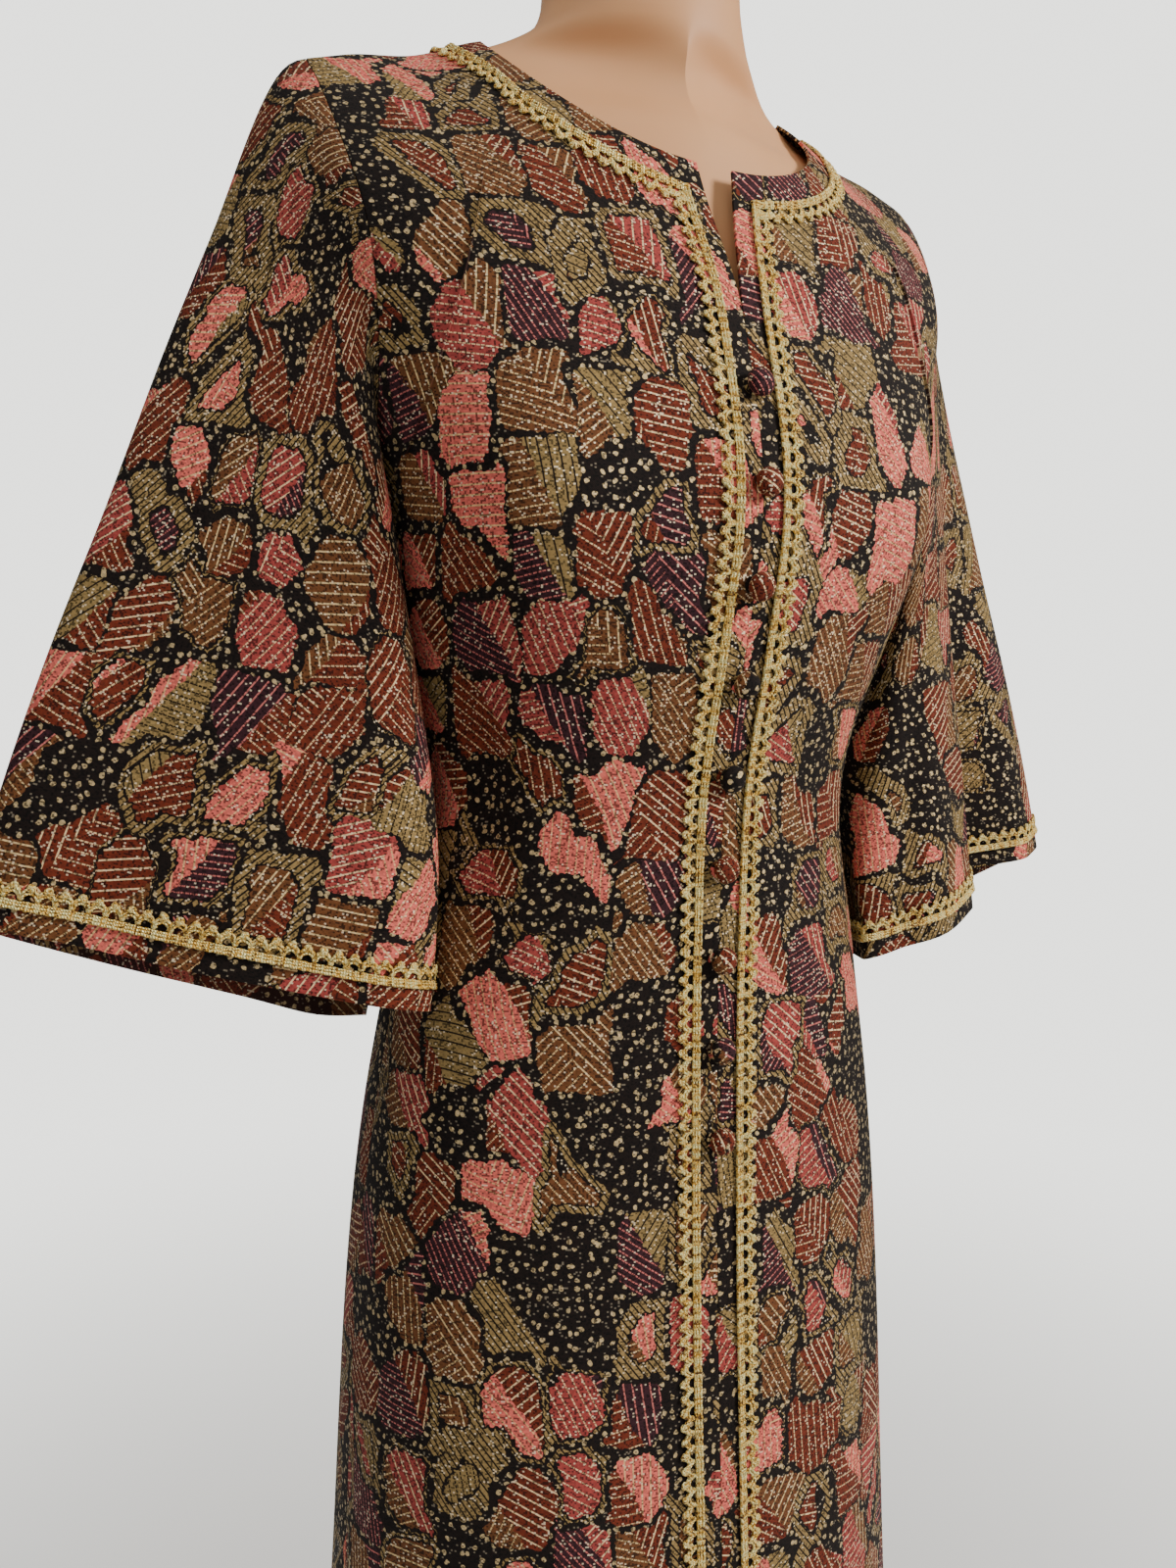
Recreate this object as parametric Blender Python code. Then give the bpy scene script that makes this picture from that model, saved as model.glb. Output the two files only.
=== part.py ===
"""A long knit kaftan with bell sleeves on a limbless dress form, in metres, +Z up.

The front faces -Y and the wearer's right side is at -X. Places on the garment are given by
their turn, 0 at the centre line and 90 degrees at the side seam, and by their drop, the
distance below the point where the shoulder seam meets the neckline.
"""

import math

import bpy
import numpy as np
from mathutils import Vector

# Driving dimensions of the garment
NECK_POINT_HEIGHT = 1.42
GARMENT_LENGTH = 1.37
NECK_HALF_WIDTH = 0.101
FRONT_NECK_DROP = 0.079
BACK_NECK_DROP = 0.020
SHOULDER_TIP_X = 0.198
UNDERARM_DROP = 0.270
HIP_DROP = 0.61
SLIT_HALF_GAP = 0.0126
SLIT_FULL_DROP = 0.055
SLIT_END_DROP = 0.172
CLOTH = 0.0016
SEAM_GAP = 0.0003

# Shoulder seam: its slope, its slight sag between the neck and the tip, how softly it
# crosses the centre line, and how far below it the body reaches its full depth
SHOULDER_SLOPE = 0.34
SHOULDER_SAG = 0.004
SHOULDER_SAG_X = 0.140
SHOULDER_SAG_HALF = 0.038
NECK_ROUND = 0.030
SHOULDER_ROUND = 0.115

# Roundness of the body's sections, and of the armhole's curve from underarm to tip
ROUNDNESS = 2.3
ARMHOLE_POWER = 0.85

# Braid: its place from the edge that it follows, and its own size
CENTRE_BRAID_FROM_EDGE = 0.0118
NECK_BRAID_FROM_EDGE = 0.0180
CUFF_BRAID_FROM_HEM = 0.0120
BRAID_WIDTH = 0.0140
BRAID_THICKNESS = 0.0012
BRAID_COLUMNS = (0.0, CENTRE_BRAID_FROM_EDGE, CENTRE_BRAID_FROM_EDGE + BRAID_WIDTH)

# Covered buttons down the centre front. Each stands on a shank, given as radius and
# height, and is round from just above the shank to its top.
BUTTON_COUNT = 9
BUTTON_RADIUS = 0.0076
BUTTON_HEIGHT = 0.0105
BUTTON_MIDDLE = 0.52
BUTTON_SHANK = ((0.0035, 0.0), (0.0045, 0.0012))
BUTTON_ANGLES = (-22, 4, 30, 56, 82)
BUTTON_SIDES = 12
FIRST_BUTTON_DROP = 0.2045
BUTTON_SPACING = 0.0503

# Sections of the body: drop, half width, front depth, back depth
BODY_SECTIONS = (
    (-0.010, 0.250, 0.082, 0.100),
    (0.080, 0.232, 0.086, 0.100),
    (0.160, 0.204, 0.114, 0.106),
    (0.270, 0.172, 0.137, 0.108),
    (0.340, 0.153, 0.124, 0.098),
    (0.410, 0.136, 0.108, 0.088),
    (0.500, 0.147, 0.104, 0.098),
    (0.610, 0.165, 0.106, 0.118),
    (0.950, 0.186, 0.126, 0.136),
    (1.380, 0.212, 0.148, 0.154),
)

# Soft folds in the body: face (-1 front, 1 back), side (-1 right, 1 left, 0 both),
# turn in degrees, half width in degrees, drop where it starts, is full and ends, height
BODY_FOLDS = (
    (-1, 0, 40, 26, 0.14, 0.265, 0.38, 0.011),
    (-1, 0, 62, 16, 0.30, 0.400, 0.52, -0.007),
    (-1, 0, 26, 13, 0.62, 1.370, 2.00, 0.010),
    (-1, -1, 52, 12, 0.74, 1.370, 2.00, -0.009),
    (-1, 1, 48, 14, 0.70, 1.370, 2.00, -0.008),
    (-1, 0, 74, 12, 0.66, 1.370, 2.00, 0.008),
    (1, 0, 18, 14, 0.64, 1.370, 2.00, 0.010),
    (1, 0, 45, 13, 0.70, 1.370, 2.00, -0.009),
    (1, 0, 70, 13, 0.66, 1.370, 2.00, 0.008),
)

# Sleeve sections from armhole to hem: share of the length, outermost x and drop,
# innermost x and drop, depth to the front and back, drop added at the front and back
SLEEVE_SECTIONS = (
    (0.00, 0.199, 0.036, 0.172, 0.270, 0.064, 0.064, 0.000, 0.000),
    (0.08, 0.212, 0.056, 0.168, 0.276, 0.076, 0.066, 0.000, 0.000),
    (0.18, 0.231, 0.094, 0.163, 0.290, 0.082, 0.068, 0.000, 0.002),
    (0.35, 0.265, 0.177, 0.153, 0.330, 0.081, 0.070, 0.000, 0.008),
    (0.55, 0.299, 0.270, 0.142, 0.392, 0.080, 0.072, 0.000, 0.020),
    (0.75, 0.331, 0.355, 0.133, 0.452, 0.078, 0.072, 0.001, 0.031),
    (0.90, 0.354, 0.425, 0.129, 0.502, 0.076, 0.071, 0.003, 0.039),
    (1.00, 0.368, 0.475, 0.128, 0.532, 0.075, 0.070, 0.005, 0.044),
)

# Sleeve: the roundness of its outer and inner half, and how far it narrows outward
SLEEVE_ROUNDNESS_OUTER = 2.2
SLEEVE_ROUNDNESS_INNER = 3.2
SLEEVE_TAPER = 0.80

# How far back each sleeve swings, and the share of the length where it has done so
SLEEVE_SWING = {-1: 0.0, 1: 0.012}
SLEEVE_SWING_SHARE = 0.4

# How far the sleeve stays from the body, and how softly it bends away from there
SLEEVE_CLEAR = 0.008
SLEEVE_SOFTNESS = 0.006

# How far the sleeve starts from the armhole's edge, how far its cap goes on outward, and
# the share of the length where it hangs free
SLEEVE_START = 0.00045
SLEEVE_CAP_RISE = 0.15
SLEEVE_FREE_SHARE = 0.26

# Soft folds in the sleeves: side, angle in degrees (0 outermost, 90 front, 180 inner,
# 270 back), half width in degrees, share of the length where it starts, height at the hem
SLEEVE_FOLDS = (
    (-1, 60, 30, 0.25, -0.004),
    (-1, 118, 24, 0.20, 0.004),
    (-1, 250, 26, 0.30, -0.010),
    (1, 66, 28, 0.12, -0.036),
    (1, 100, 20, 0.20, 0.014),
    (1, 245, 28, 0.30, -0.012),
)

# The dress form: drop, half width, front depth, back depth, roundness
FORM_SECTIONS = (
    (-0.105, 0.0560, 0.058, 0.054, 2.00),
    (-0.060, 0.0585, 0.058, 0.055, 2.00),
    (-0.028, 0.0620, 0.058, 0.056, 2.00),
    (-0.010, 0.0740, 0.058, 0.056, 1.70),
    (0.0035, 0.1000, 0.056, 0.055, 1.08),
    (0.0205, 0.1400, 0.054, 0.054, 0.98),
    (0.0320, 0.1850, 0.058, 0.058, 1.00),
    (0.0500, 0.1860, 0.070, 0.069, 1.32),
    (0.0900, 0.1780, 0.079, 0.080, 1.90),
    (0.1600, 0.1620, 0.100, 0.092, 2.30),
    (0.2700, 0.1500, 0.119, 0.094, 2.30),
    (0.3400, 0.1340, 0.107, 0.083, 2.30),
    (0.4100, 0.1180, 0.091, 0.073, 2.30),
    (0.5000, 0.1290, 0.087, 0.083, 2.30),
    (0.6100, 0.1470, 0.089, 0.102, 2.30),
    (0.7000, 0.1480, 0.088, 0.102, 2.30),
    (0.7600, 0.1420, 0.084, 0.098, 2.30),
)

# Drops of the form's rings between those sections, and how its cap and foot are rounded:
# a smaller ring, in shares of the last one, some way beyond it
FORM_EXTRA_DROPS = (-0.083, -0.044, 0.125, 0.215, 0.305, 0.375, 0.455, 0.555, 0.655)
FORM_CAP_SHARE = 0.86
FORM_CAP_RISE = 0.006
FORM_FOOT_SHARE = 0.90
FORM_FOOT_DROP = 0.012
FORM_SIDES = 32

# Stand: the pole, and the base's profile of radius and height
POLE_RADIUS = 0.0125
POLE_SIDES = 20
BASE_HEIGHT = 0.022
BASE_PROFILE = (
    (0.176, 0.0),
    (0.178, 0.002),
    (0.178, 0.008),
    (0.172, 0.012),
    (0.050, 0.018),
    (0.030, BASE_HEIGHT),
)
BASE_SIDES = 40

# How many strips the cloth is divided into
CENTRE_COLUMNS = 11
ARMHOLE_COLUMNS = 7
YOKE_ROWS = 9
WAIST_ROWS = 8
SKIRT_ROWS = 13
SLEEVE_ROWS = 12
SLEEVE_SPLIT = 3

# How far the yoke's strips bow toward the underarm, and how the sleeve's rows open out
YOKE_BOW = 0.8
SLEEVE_ROW_POWER = 1.25

# Steps in which curves are followed, and rounds in which a drop is found
CURVE_STEPS = 400
YOKE_STEPS = 160
SLEEVE_STEPS = 220
EDGE_STEPS = 60
DROP_ROUNDS = 12

# Finishes: colour, roughness, metallic
CLOTH_FINISH = ((0.16, 0.085, 0.065), 0.60, 0.0)
BRAID_FINISH = ((0.58, 0.43, 0.16), 0.38, 0.6)
FORM_FINISH = ((0.62, 0.42, 0.29), 0.45, 0.0)
POLE_FINISH = ((0.55, 0.55, 0.54), 0.30, 0.9)
BASE_FINISH = ((0.55, 0.55, 0.54), 0.35, 0.9)
SHARP_ANGLE = math.radians(40)


def clear_scene():
    for thing in list(bpy.data.objects):
        bpy.data.objects.remove(thing, do_unlink=True)


def coated(thing, finish):
    """Gives an object its own material."""
    colour, roughness, metallic = finish
    material = bpy.data.materials.new(thing.name)
    material.use_nodes = True
    shader = material.node_tree.nodes["Principled BSDF"]
    shader.inputs["Base Color"].default_value = (*colour, 1.0)
    shader.inputs["Roughness"].default_value = roughness
    shader.inputs["Metallic"].default_value = metallic
    thing.data.materials.append(material)
    thing.data.shade_smooth()
    thing.data.set_sharp_from_angle(angle=SHARP_ANGLE)


def placed(name, points, faces):
    """A mesh object from points and faces."""
    mesh = bpy.data.meshes.new(name)
    mesh.from_pydata([tuple(p) for p in points], [], faces)
    thing = bpy.data.objects.new(name, mesh)
    bpy.context.scene.collection.objects.link(thing)
    return thing


def read(table, place):
    """The values of a table at a place in its first column, on a smooth curve."""
    rows = np.array(table, float)
    keys = rows[:, 0]
    values = rows[:, 1:]
    slopes = np.gradient(values, keys, axis=0)
    place = np.clip(place, keys[0], keys[-1])
    low = np.clip(np.searchsorted(keys, place, side="right") - 1, 0, len(keys) - 2)
    step = keys[low + 1] - keys[low]
    t = ((place - keys[low]) / step)[..., None]
    step = step[..., None]
    return (
        (2 * t**3 - 3 * t**2 + 1) * values[low]
        + (t**3 - 2 * t**2 + t) * step * slopes[low]
        + (3 * t**2 - 2 * t**3) * values[low + 1]
        + (t**3 - t**2) * step * slopes[low + 1]
    )


def eased(x):
    """From 0 to 1 with a soft start and end."""
    x = np.clip(x, 0.0, 1.0)
    return x * x * (3 - 2 * x)


def bump(distance):
    """1 at 0, falling smoothly to 0 at 1."""
    return eased(1 - np.abs(distance))


def turn_of(x, drop):
    """The turn at which the body's section reaches a distance from the centre line."""
    half_width = read(BODY_SECTIONS, drop)[..., 0]
    return np.arcsin(np.clip(x / half_width, 0, 1) ** (ROUNDNESS / 2))


def slit(drop):
    """How far the open centre front moves its edge aside."""
    return SLIT_HALF_GAP * eased((SLIT_END_DROP - drop) / (SLIT_END_DROP - SLIT_FULL_DROP))


def over_shoulder(x):
    """The drop of the shoulder seam at a distance from the centre line."""
    inside = np.clip(1 - (x / NECK_HALF_WIDTH) ** 2, 0, 1)
    slope = SHOULDER_SLOPE * (np.hypot(x, NECK_ROUND * inside) - NECK_HALF_WIDTH)
    return slope + SHOULDER_SAG * bump((x - SHOULDER_SAG_X) / SHOULDER_SAG_HALF)


def body_point(face, side, turn, drop):
    """Points on the outside of the body, for faces -1 front and 1 back, and sides -1 and 1."""
    turn, drop = np.broadcast_arrays(np.asarray(turn, float), np.asarray(drop, float))
    half_width, front, back = np.moveaxis(read(BODY_SECTIONS, drop), -1, 0)
    depth = front if face < 0 else back
    x = half_width * np.sin(turn) ** (2 / ROUNDNESS)
    below = drop - over_shoulder(x)
    over = 1 - (1 - np.clip(below / SHOULDER_ROUND, 0, 1)) ** 2
    y = depth * np.clip(np.cos(turn), 0, 1) ** (2 / ROUNDNESS) * over
    lift = np.zeros_like(x)
    for fold_face, fold_side, at, half, start, full, end, height in BODY_FOLDS:
        if fold_face == face and fold_side in (0, side):
            along = eased((drop - start) / (full - start)) * eased((end - drop) / (end - full))
            lift = lift + height * along * bump((np.degrees(turn) - at) / half)
    x = x + lift * np.sin(turn)
    y = y + lift * np.cos(turn)
    if face < 0:
        x = x + (slit(drop) + SEAM_GAP / 2) * np.clip(1 - x / NECK_HALF_WIDTH, 0, 1)
    z = NECK_POINT_HEIGHT - drop
    return np.stack([side * x, face * (y + SEAM_GAP / 2), z], axis=-1)


def below_seam(turn, drop):
    """How far a place is below the shoulder seam."""
    x = read(BODY_SECTIONS, drop)[..., 0] * np.sin(turn) ** (2 / ROUNDNESS)
    return drop - over_shoulder(x)


def drop_from_seam(turn, below):
    """The drop at a turn and a distance below the shoulder seam."""
    drop = below
    for _ in range(DROP_ROUNDS):
        x = read(BODY_SECTIONS, drop)[..., 0] * np.sin(turn) ** (2 / ROUNDNESS)
        drop = over_shoulder(x) + below
    return drop


def evenly(curve, count, start=0.0, end=1.0):
    """Places along a curve, a function of 0 to 1, that are the same distance apart."""
    fine = np.linspace(start, end, CURVE_STEPS)
    steps = np.linalg.norm(np.diff(curve(fine), axis=0), axis=1)
    run = np.concatenate([[0], np.cumsum(steps)])
    return np.interp(np.linspace(0, run[-1], count), run, fine)


def neck_place(face, w):
    """Turn and drop along the neckline, from the centre at 0 to the shoulder seam at 1."""
    angle = w * math.pi / 2
    neck_drop = FRONT_NECK_DROP if face < 0 else BACK_NECK_DROP
    x = NECK_HALF_WIDTH * np.sin(angle)
    drop = neck_drop * np.cos(angle)
    return turn_of(x, drop), drop


def neck_share(x):
    """Where along the neckline it is at a distance from the centre line."""
    return 2 * math.asin(x / NECK_HALF_WIDTH) / math.pi


def armhole_place(w):
    """Turn and drop along the armhole, from the underarm at 0 to the shoulder tip at 1."""
    angle = w * math.pi / 2
    tip_drop = over_shoulder(SHOULDER_TIP_X)
    tip_turn = turn_of(SHOULDER_TIP_X, tip_drop)
    turn = math.pi / 2 - (math.pi / 2 - tip_turn) * np.sin(angle)
    rise = (1 - np.cos(angle)) ** ARMHOLE_POWER
    return turn, UNDERARM_DROP - (UNDERARM_DROP - tip_drop) * rise


def column_turn(column, drop):
    """The turn of a column of the body at a drop. The first columns edge the braid."""
    if column < len(BRAID_COLUMNS):
        return turn_of(np.full_like(drop, BRAID_COLUMNS[column]), drop)
    beyond = len(BRAID_COLUMNS) - 1
    last = turn_of(np.full_like(drop, BRAID_COLUMNS[-1]), drop)
    share = (column - beyond) / (CENTRE_COLUMNS - beyond)
    return last + (math.pi / 2 - last) * share


def braid_places(length, edge, rows):
    """Distances along a line for its edge, the two edges of a braid, and even rows."""
    braid = [0.0, edge, edge + BRAID_WIDTH]
    return np.array(braid + list(np.linspace(braid[-1], length, rows - 1)[1:]))


def yoke_grid(face, side):
    """Rows from the neckline out to the underarm line and armhole, columns from the centre."""
    columns = CENTRE_COLUMNS + ARMHOLE_COLUMNS
    beyond = len(BRAID_COLUMNS) - 1
    neck_start = neck_share(BRAID_COLUMNS[-1])
    neck_count = columns - beyond + 1
    neck_at = evenly(lambda w: body_point(face, side, *neck_place(face, w)), neck_count, neck_start)
    arm_at = evenly(lambda w: body_point(face, side, *armhole_place(w)), ARMHOLE_COLUMNS + 1)
    share = np.linspace(0, 1, YOKE_STEPS)
    lines = []
    for column in range(columns + 1):
        if column <= beyond:
            _, top = neck_place(face, neck_share(BRAID_COLUMNS[column]))
            drop = top + (UNDERARM_DROP - top) * share
            turn = column_turn(column, drop)
        else:
            turn_top, drop_top = neck_place(face, neck_at[column - beyond])
            if column <= CENTRE_COLUMNS:
                drop_end = np.float64(UNDERARM_DROP)
                turn_end = column_turn(column, drop_end)
            else:
                turn_end, drop_end = armhole_place(arm_at[column - CENTRE_COLUMNS])
            below_top = below_seam(turn_top, drop_top)
            below_end = below_seam(turn_end, drop_end)
            bow = YOKE_BOW * bump((column - CENTRE_COLUMNS) / (ARMHOLE_COLUMNS + 1))
            late = share * share * (1 - share) * bow
            turn = turn_top + (turn_end - turn_top) * (share - late)
            drop = drop_from_seam(turn, below_top + (below_end - below_top) * (share + late))
        line = body_point(face, side, turn, drop)
        run = np.concatenate([[0], np.cumsum(np.linalg.norm(np.diff(line, axis=0), axis=1))])
        at = np.interp(braid_places(run[-1], NECK_BRAID_FROM_EDGE, YOKE_ROWS), run, share)
        turn_at = np.interp(at, share, turn)
        drop_at = np.interp(at, share, drop)
        lines.append(body_point(face, side, turn_at, drop_at))
    return np.array(lines).transpose(1, 0, 2)


def skirt_grid(face, side):
    """Rows from the underarm line down to the hem, columns from the centre to the side."""
    waist = np.linspace(UNDERARM_DROP, HIP_DROP, WAIST_ROWS + 1)
    skirt = np.linspace(HIP_DROP, GARMENT_LENGTH, SKIRT_ROWS + 1)
    drops = np.concatenate([waist, skirt[1:]])
    turns = np.array([column_turn(column, drops) for column in range(CENTRE_COLUMNS + 1)])
    return body_point(face, side, turns.T, drops[:, None])


class Cloth:
    """Points and faces of one side of a sheet of cloth, with the way that its wall goes."""

    def __init__(self):
        self.points = []
        self.faces = []
        self.index = {}
        self.flat = {}

    def add(self, point):
        key = tuple(np.round(point, 7))
        if key not in self.index:
            self.index[key] = len(self.points)
            self.points.append(np.array(point, float))
        return self.index[key]

    def grid(self, rows, flip):
        """Adds a grid of points. Returns the points' numbers."""
        numbers = [[self.add(p) for p in row] for row in rows]
        for upper, lower in zip(numbers, numbers[1:]):
            for a, b, c, d in zip(upper, upper[1:], lower[1:], lower):
                self.faces.append((a, d, c, b) if flip else (a, b, c, d))
        return np.array(numbers)

    def level(self, numbers, axis):
        """Keeps the wall at these points square to an axis, as where two pieces meet."""
        for number in np.ravel(numbers):
            self.flat.setdefault(int(number), set()).add(axis)

    def normals(self):
        points = np.array(self.points)
        normals = np.zeros_like(points)
        for face in self.faces:
            a, b, c, d = (points[n] for n in face)
            across = np.cross(c - a, d - b)
            for number in face:
                normals[number] += across
        for number, axes in self.flat.items():
            for axis in axes:
                normals[number, axis] = 0.0
        return normals / np.linalg.norm(normals, axis=1)[:, None]


def wall(name, points, faces, normals, thickness, lift=0.0):
    """A closed wall: an outer skin, an inner skin behind it, and a rim round each edge."""
    count = len(points)
    outer = points + normals * lift
    inner = outer - normals * thickness
    sides = {(a, b) for face in faces for a, b in zip(face, face[1:] + face[:1])}
    rim = [(b, a, a + count, b + count) for a, b in sides if (b, a) not in sides]
    halves = []
    for a, b, c, d in faces:
        if np.linalg.norm(points[a] - points[c]) > np.linalg.norm(points[b] - points[d]):
            a, b, c, d = b, c, d, a
        halves += [(a, b, c), (a, c, d)]
        halves += [(a + count, c + count, b + count), (a + count, d + count, c + count)]
    for a, b, c, d in sorted(rim):
        halves += [(a, b, c), (a, c, d)]
    return placed(name, np.concatenate([outer, inner]), halves)


def front_piece(side):
    """One front, from neckline to hem."""
    cloth = Cloth()
    flip = side > 0
    yoke = cloth.grid(yoke_grid(-1, side), flip)
    skirt = cloth.grid(skirt_grid(-1, side), flip)
    cloth.level(yoke[:, 0], 0)
    cloth.level(skirt[:, 0], 0)
    cloth.level(yoke[:, -1], 1)
    cloth.level(skirt[:, -1], 1)
    return cloth, yoke, skirt


def back_piece():
    """The back, whole, from neckline to hem."""
    cloth = Cloth()
    halves = []
    for side in (-1, 1):
        flip = side < 0
        yoke = cloth.grid(yoke_grid(1, side), flip)
        skirt = cloth.grid(skirt_grid(1, side), flip)
        cloth.level(yoke[:, -1], 1)
        cloth.level(skirt[:, -1], 1)
        halves.append((yoke, skirt))
    return cloth, halves


def cells(numbers, rows, columns, flip):
    """The faces of a grid between a first and last row and a first and last column."""
    faces = []
    for row in range(*rows):
        for column in range(*columns):
            a, b = numbers[row][column], numbers[row][column + 1]
            d, c = numbers[row + 1][column], numbers[row + 1][column + 1]
            faces.append((a, d, c, b) if flip else (a, b, c, d))
    return faces


def braid(name, cloth, normals, faces):
    """A braid that lies on some faces of a piece of cloth, moved out from its points."""
    used = sorted({number for face in faces for number in face})
    order = {number: place for place, number in enumerate(used)}
    points = np.array([cloth.points[number] for number in used])
    faces = [tuple(order[number] for number in face) for face in faces]
    lift = SEAM_GAP + BRAID_THICKNESS
    made = wall(name, points, faces, normals[used], BRAID_THICKNESS, lift)
    coated(made, BRAID_FINISH)


def armhole_ring(front_cloth, front_grids, back_cloth, back_grids):
    """The armhole's points and the ways out of the cloth there, shoulder tip first."""
    sides = []
    for cloth, (yoke, skirt) in ((front_cloth, front_grids), (back_cloth, back_grids)):
        points = np.array(cloth.points)
        edge = yoke[-1, CENTRE_COLUMNS:]
        place = points[edge]
        out = place - points[yoke[-2, CENTRE_COLUMNS:]]
        out[0] = points[skirt[0, -1]] - points[skirt[1, -1]]
        along = np.gradient(place, axis=0)
        along[0, [0, 2]] = 0.0
        along[-1, [0, 2]] = 0.0
        along /= np.linalg.norm(along, axis=1)[:, None]
        for way in (along, cloth.normals()[edge]):
            out = out - way * np.sum(out * way, axis=1)[:, None]
        sides.append((place, out / np.linalg.norm(out, axis=1)[:, None]))
    (front_place, front_out), (back_place, back_out) = sides
    place = np.concatenate([front_place[::-1], back_place[1:-1]])
    out = np.concatenate([front_out[::-1], back_out[1:-1]])
    place[[0, ARMHOLE_COLUMNS], 1] = 0.0
    out[[0, ARMHOLE_COLUMNS], 1] = 0.0
    return place, out


def split(ring, parts):
    """A closed ring with each side divided into equal parts."""
    after = np.roll(ring, -1, axis=0)
    steps = [ring + (after - ring) * part / parts for part in range(parts)]
    return np.stack(steps, axis=1).reshape(-1, ring.shape[1])


def sleeve_loft(side, share, angle):
    """Points of the hanging sleeve, for shares of its length and angles round it."""
    share, angle = np.broadcast_arrays(share, angle)
    out_x, out_drop, in_x, in_drop, front, back, front_drop, back_drop = np.moveaxis(
        read(SLEEVE_SECTIONS, share), -1, 0
    )
    roundness = np.where(np.cos(angle) > 0, SLEEVE_ROUNDNESS_OUTER, SLEEVE_ROUNDNESS_INNER)
    across = np.sign(np.cos(angle)) * np.abs(np.cos(angle)) ** (2 / roundness)
    around = np.sign(np.sin(angle)) * np.abs(np.sin(angle)) ** (2 / roundness)
    x = (out_x + in_x) / 2 + (out_x - in_x) / 2 * across
    drop = (out_drop + in_drop) / 2 + (out_drop - in_drop) / 2 * across
    taper = 1 - SLEEVE_TAPER * (1 + across) / 2
    forward = np.clip(around, 0, 1) * taper
    rear = np.clip(-around, 0, 1) * taper
    y = -front * forward + back * rear
    drop = drop + front_drop * forward + back_drop * rear
    y = y + SLEEVE_SWING[side] * eased(share / SLEEVE_SWING_SHARE) * (1 + across) / 2
    for fold_side, at, half, start, height in SLEEVE_FOLDS:
        if fold_side == side:
            size = height * eased((share - start) / (1 - start))
            lift = size * bump((np.degrees(angle) - at) / half)
            x = x + lift * np.cos(angle)
            y = y - lift * np.sin(angle)
    section = read(BODY_SECTIONS, drop)
    depth = np.where(y < 0, section[..., 1], section[..., 2])
    reach = np.clip(1 - np.clip(np.abs(y) / depth, 0, 1) ** ROUNDNESS, 0, 1) ** (1 / ROUNDNESS)
    edge_turn, edge_drop = armhole_place(np.linspace(1, 0, EDGE_STEPS))
    edge_x = read(BODY_SECTIONS, edge_drop)[..., 0] * np.sin(edge_turn) ** (2 / ROUNDNESS)
    body_x = np.minimum(section[..., 0] * reach, np.interp(drop, edge_drop, edge_x))
    beside = body_x + SLEEVE_CLEAR
    gap = x - beside
    x = beside + (gap + np.sqrt(gap * gap + SLEEVE_SOFTNESS**2)) / 2
    return np.stack([side * x, y, NECK_POINT_HEIGHT - drop], axis=-1)


def sleeve_piece(side, armhole):
    """One sleeve, whose first ring is the armhole and whose last is the hem."""
    ring, out = (split(part, SLEEVE_SPLIT) for part in armhole)
    ring = ring + out * SLEEVE_START
    count = len(ring)
    angle = np.linspace(0, 2 * math.pi, count, endpoint=False)
    share = np.linspace(0, 1, SLEEVE_STEPS)[:, None]
    loft = sleeve_loft(side, share, angle[None, :])
    blend = eased(share / SLEEVE_FREE_SHARE)[..., None]
    rise = share * SLEEVE_CAP_RISE * (1 + np.cos(angle)) / 2
    start = ring[None] + out[None] * rise[..., None]
    surface = start + (loft - start) * blend
    steps = np.linalg.norm(np.diff(surface, axis=0), axis=2)
    run = np.concatenate([np.zeros((1, count)), np.cumsum(steps, axis=0)])
    edge = CUFF_BRAID_FROM_HEM
    rows = [(row / SLEEVE_ROWS) ** SLEEVE_ROW_POWER for row in range(SLEEVE_ROWS + 1)]
    grid = np.zeros((SLEEVE_ROWS + 3, count, 3))
    for column in range(count):
        length = run[-1, column]
        free = length - edge - BRAID_WIDTH
        at = [free * part for part in rows] + [length - edge, length]
        for axis in range(3):
            grid[:, column, axis] = np.interp(at, run[:, column], surface[:, column, axis])
    closed = np.concatenate([grid, grid[:, :1]], axis=1)
    cloth = Cloth()
    numbers = cloth.grid(closed, side < 0)
    normals = cloth.normals()
    seam = numbers[0, :-1]
    toward = np.clip(np.sum(normals[seam] * out, axis=1), 0, None)
    square = normals[seam] - out * toward[:, None]
    normals[seam] = square / np.linalg.norm(square, axis=1)[:, None]
    return cloth, numbers, normals


def turned(name, profile, sides):
    """A closed solid turned about Z from a profile of radius and height, bottom to top."""
    points = [(0.0, 0.0, profile[0][1])]
    faces = []
    for radius, height in profile:
        for k in range(sides):
            angle = 2 * math.pi * k / sides
            points.append((radius * math.cos(angle), radius * math.sin(angle), height))
    points.append((0.0, 0.0, profile[-1][1]))
    top = len(points) - 1
    for k in range(sides):
        after = (k + 1) % sides
        faces.append((0, 1 + after, 1 + k))
        for level in range(len(profile) - 1):
            low = 1 + level * sides
            faces.append((low + k, low + after, low + sides + after, low + sides + k))
        last = 1 + (len(profile) - 1) * sides
        faces.append((top, last + k, last + after))
    return placed(name, points, faces)


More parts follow.
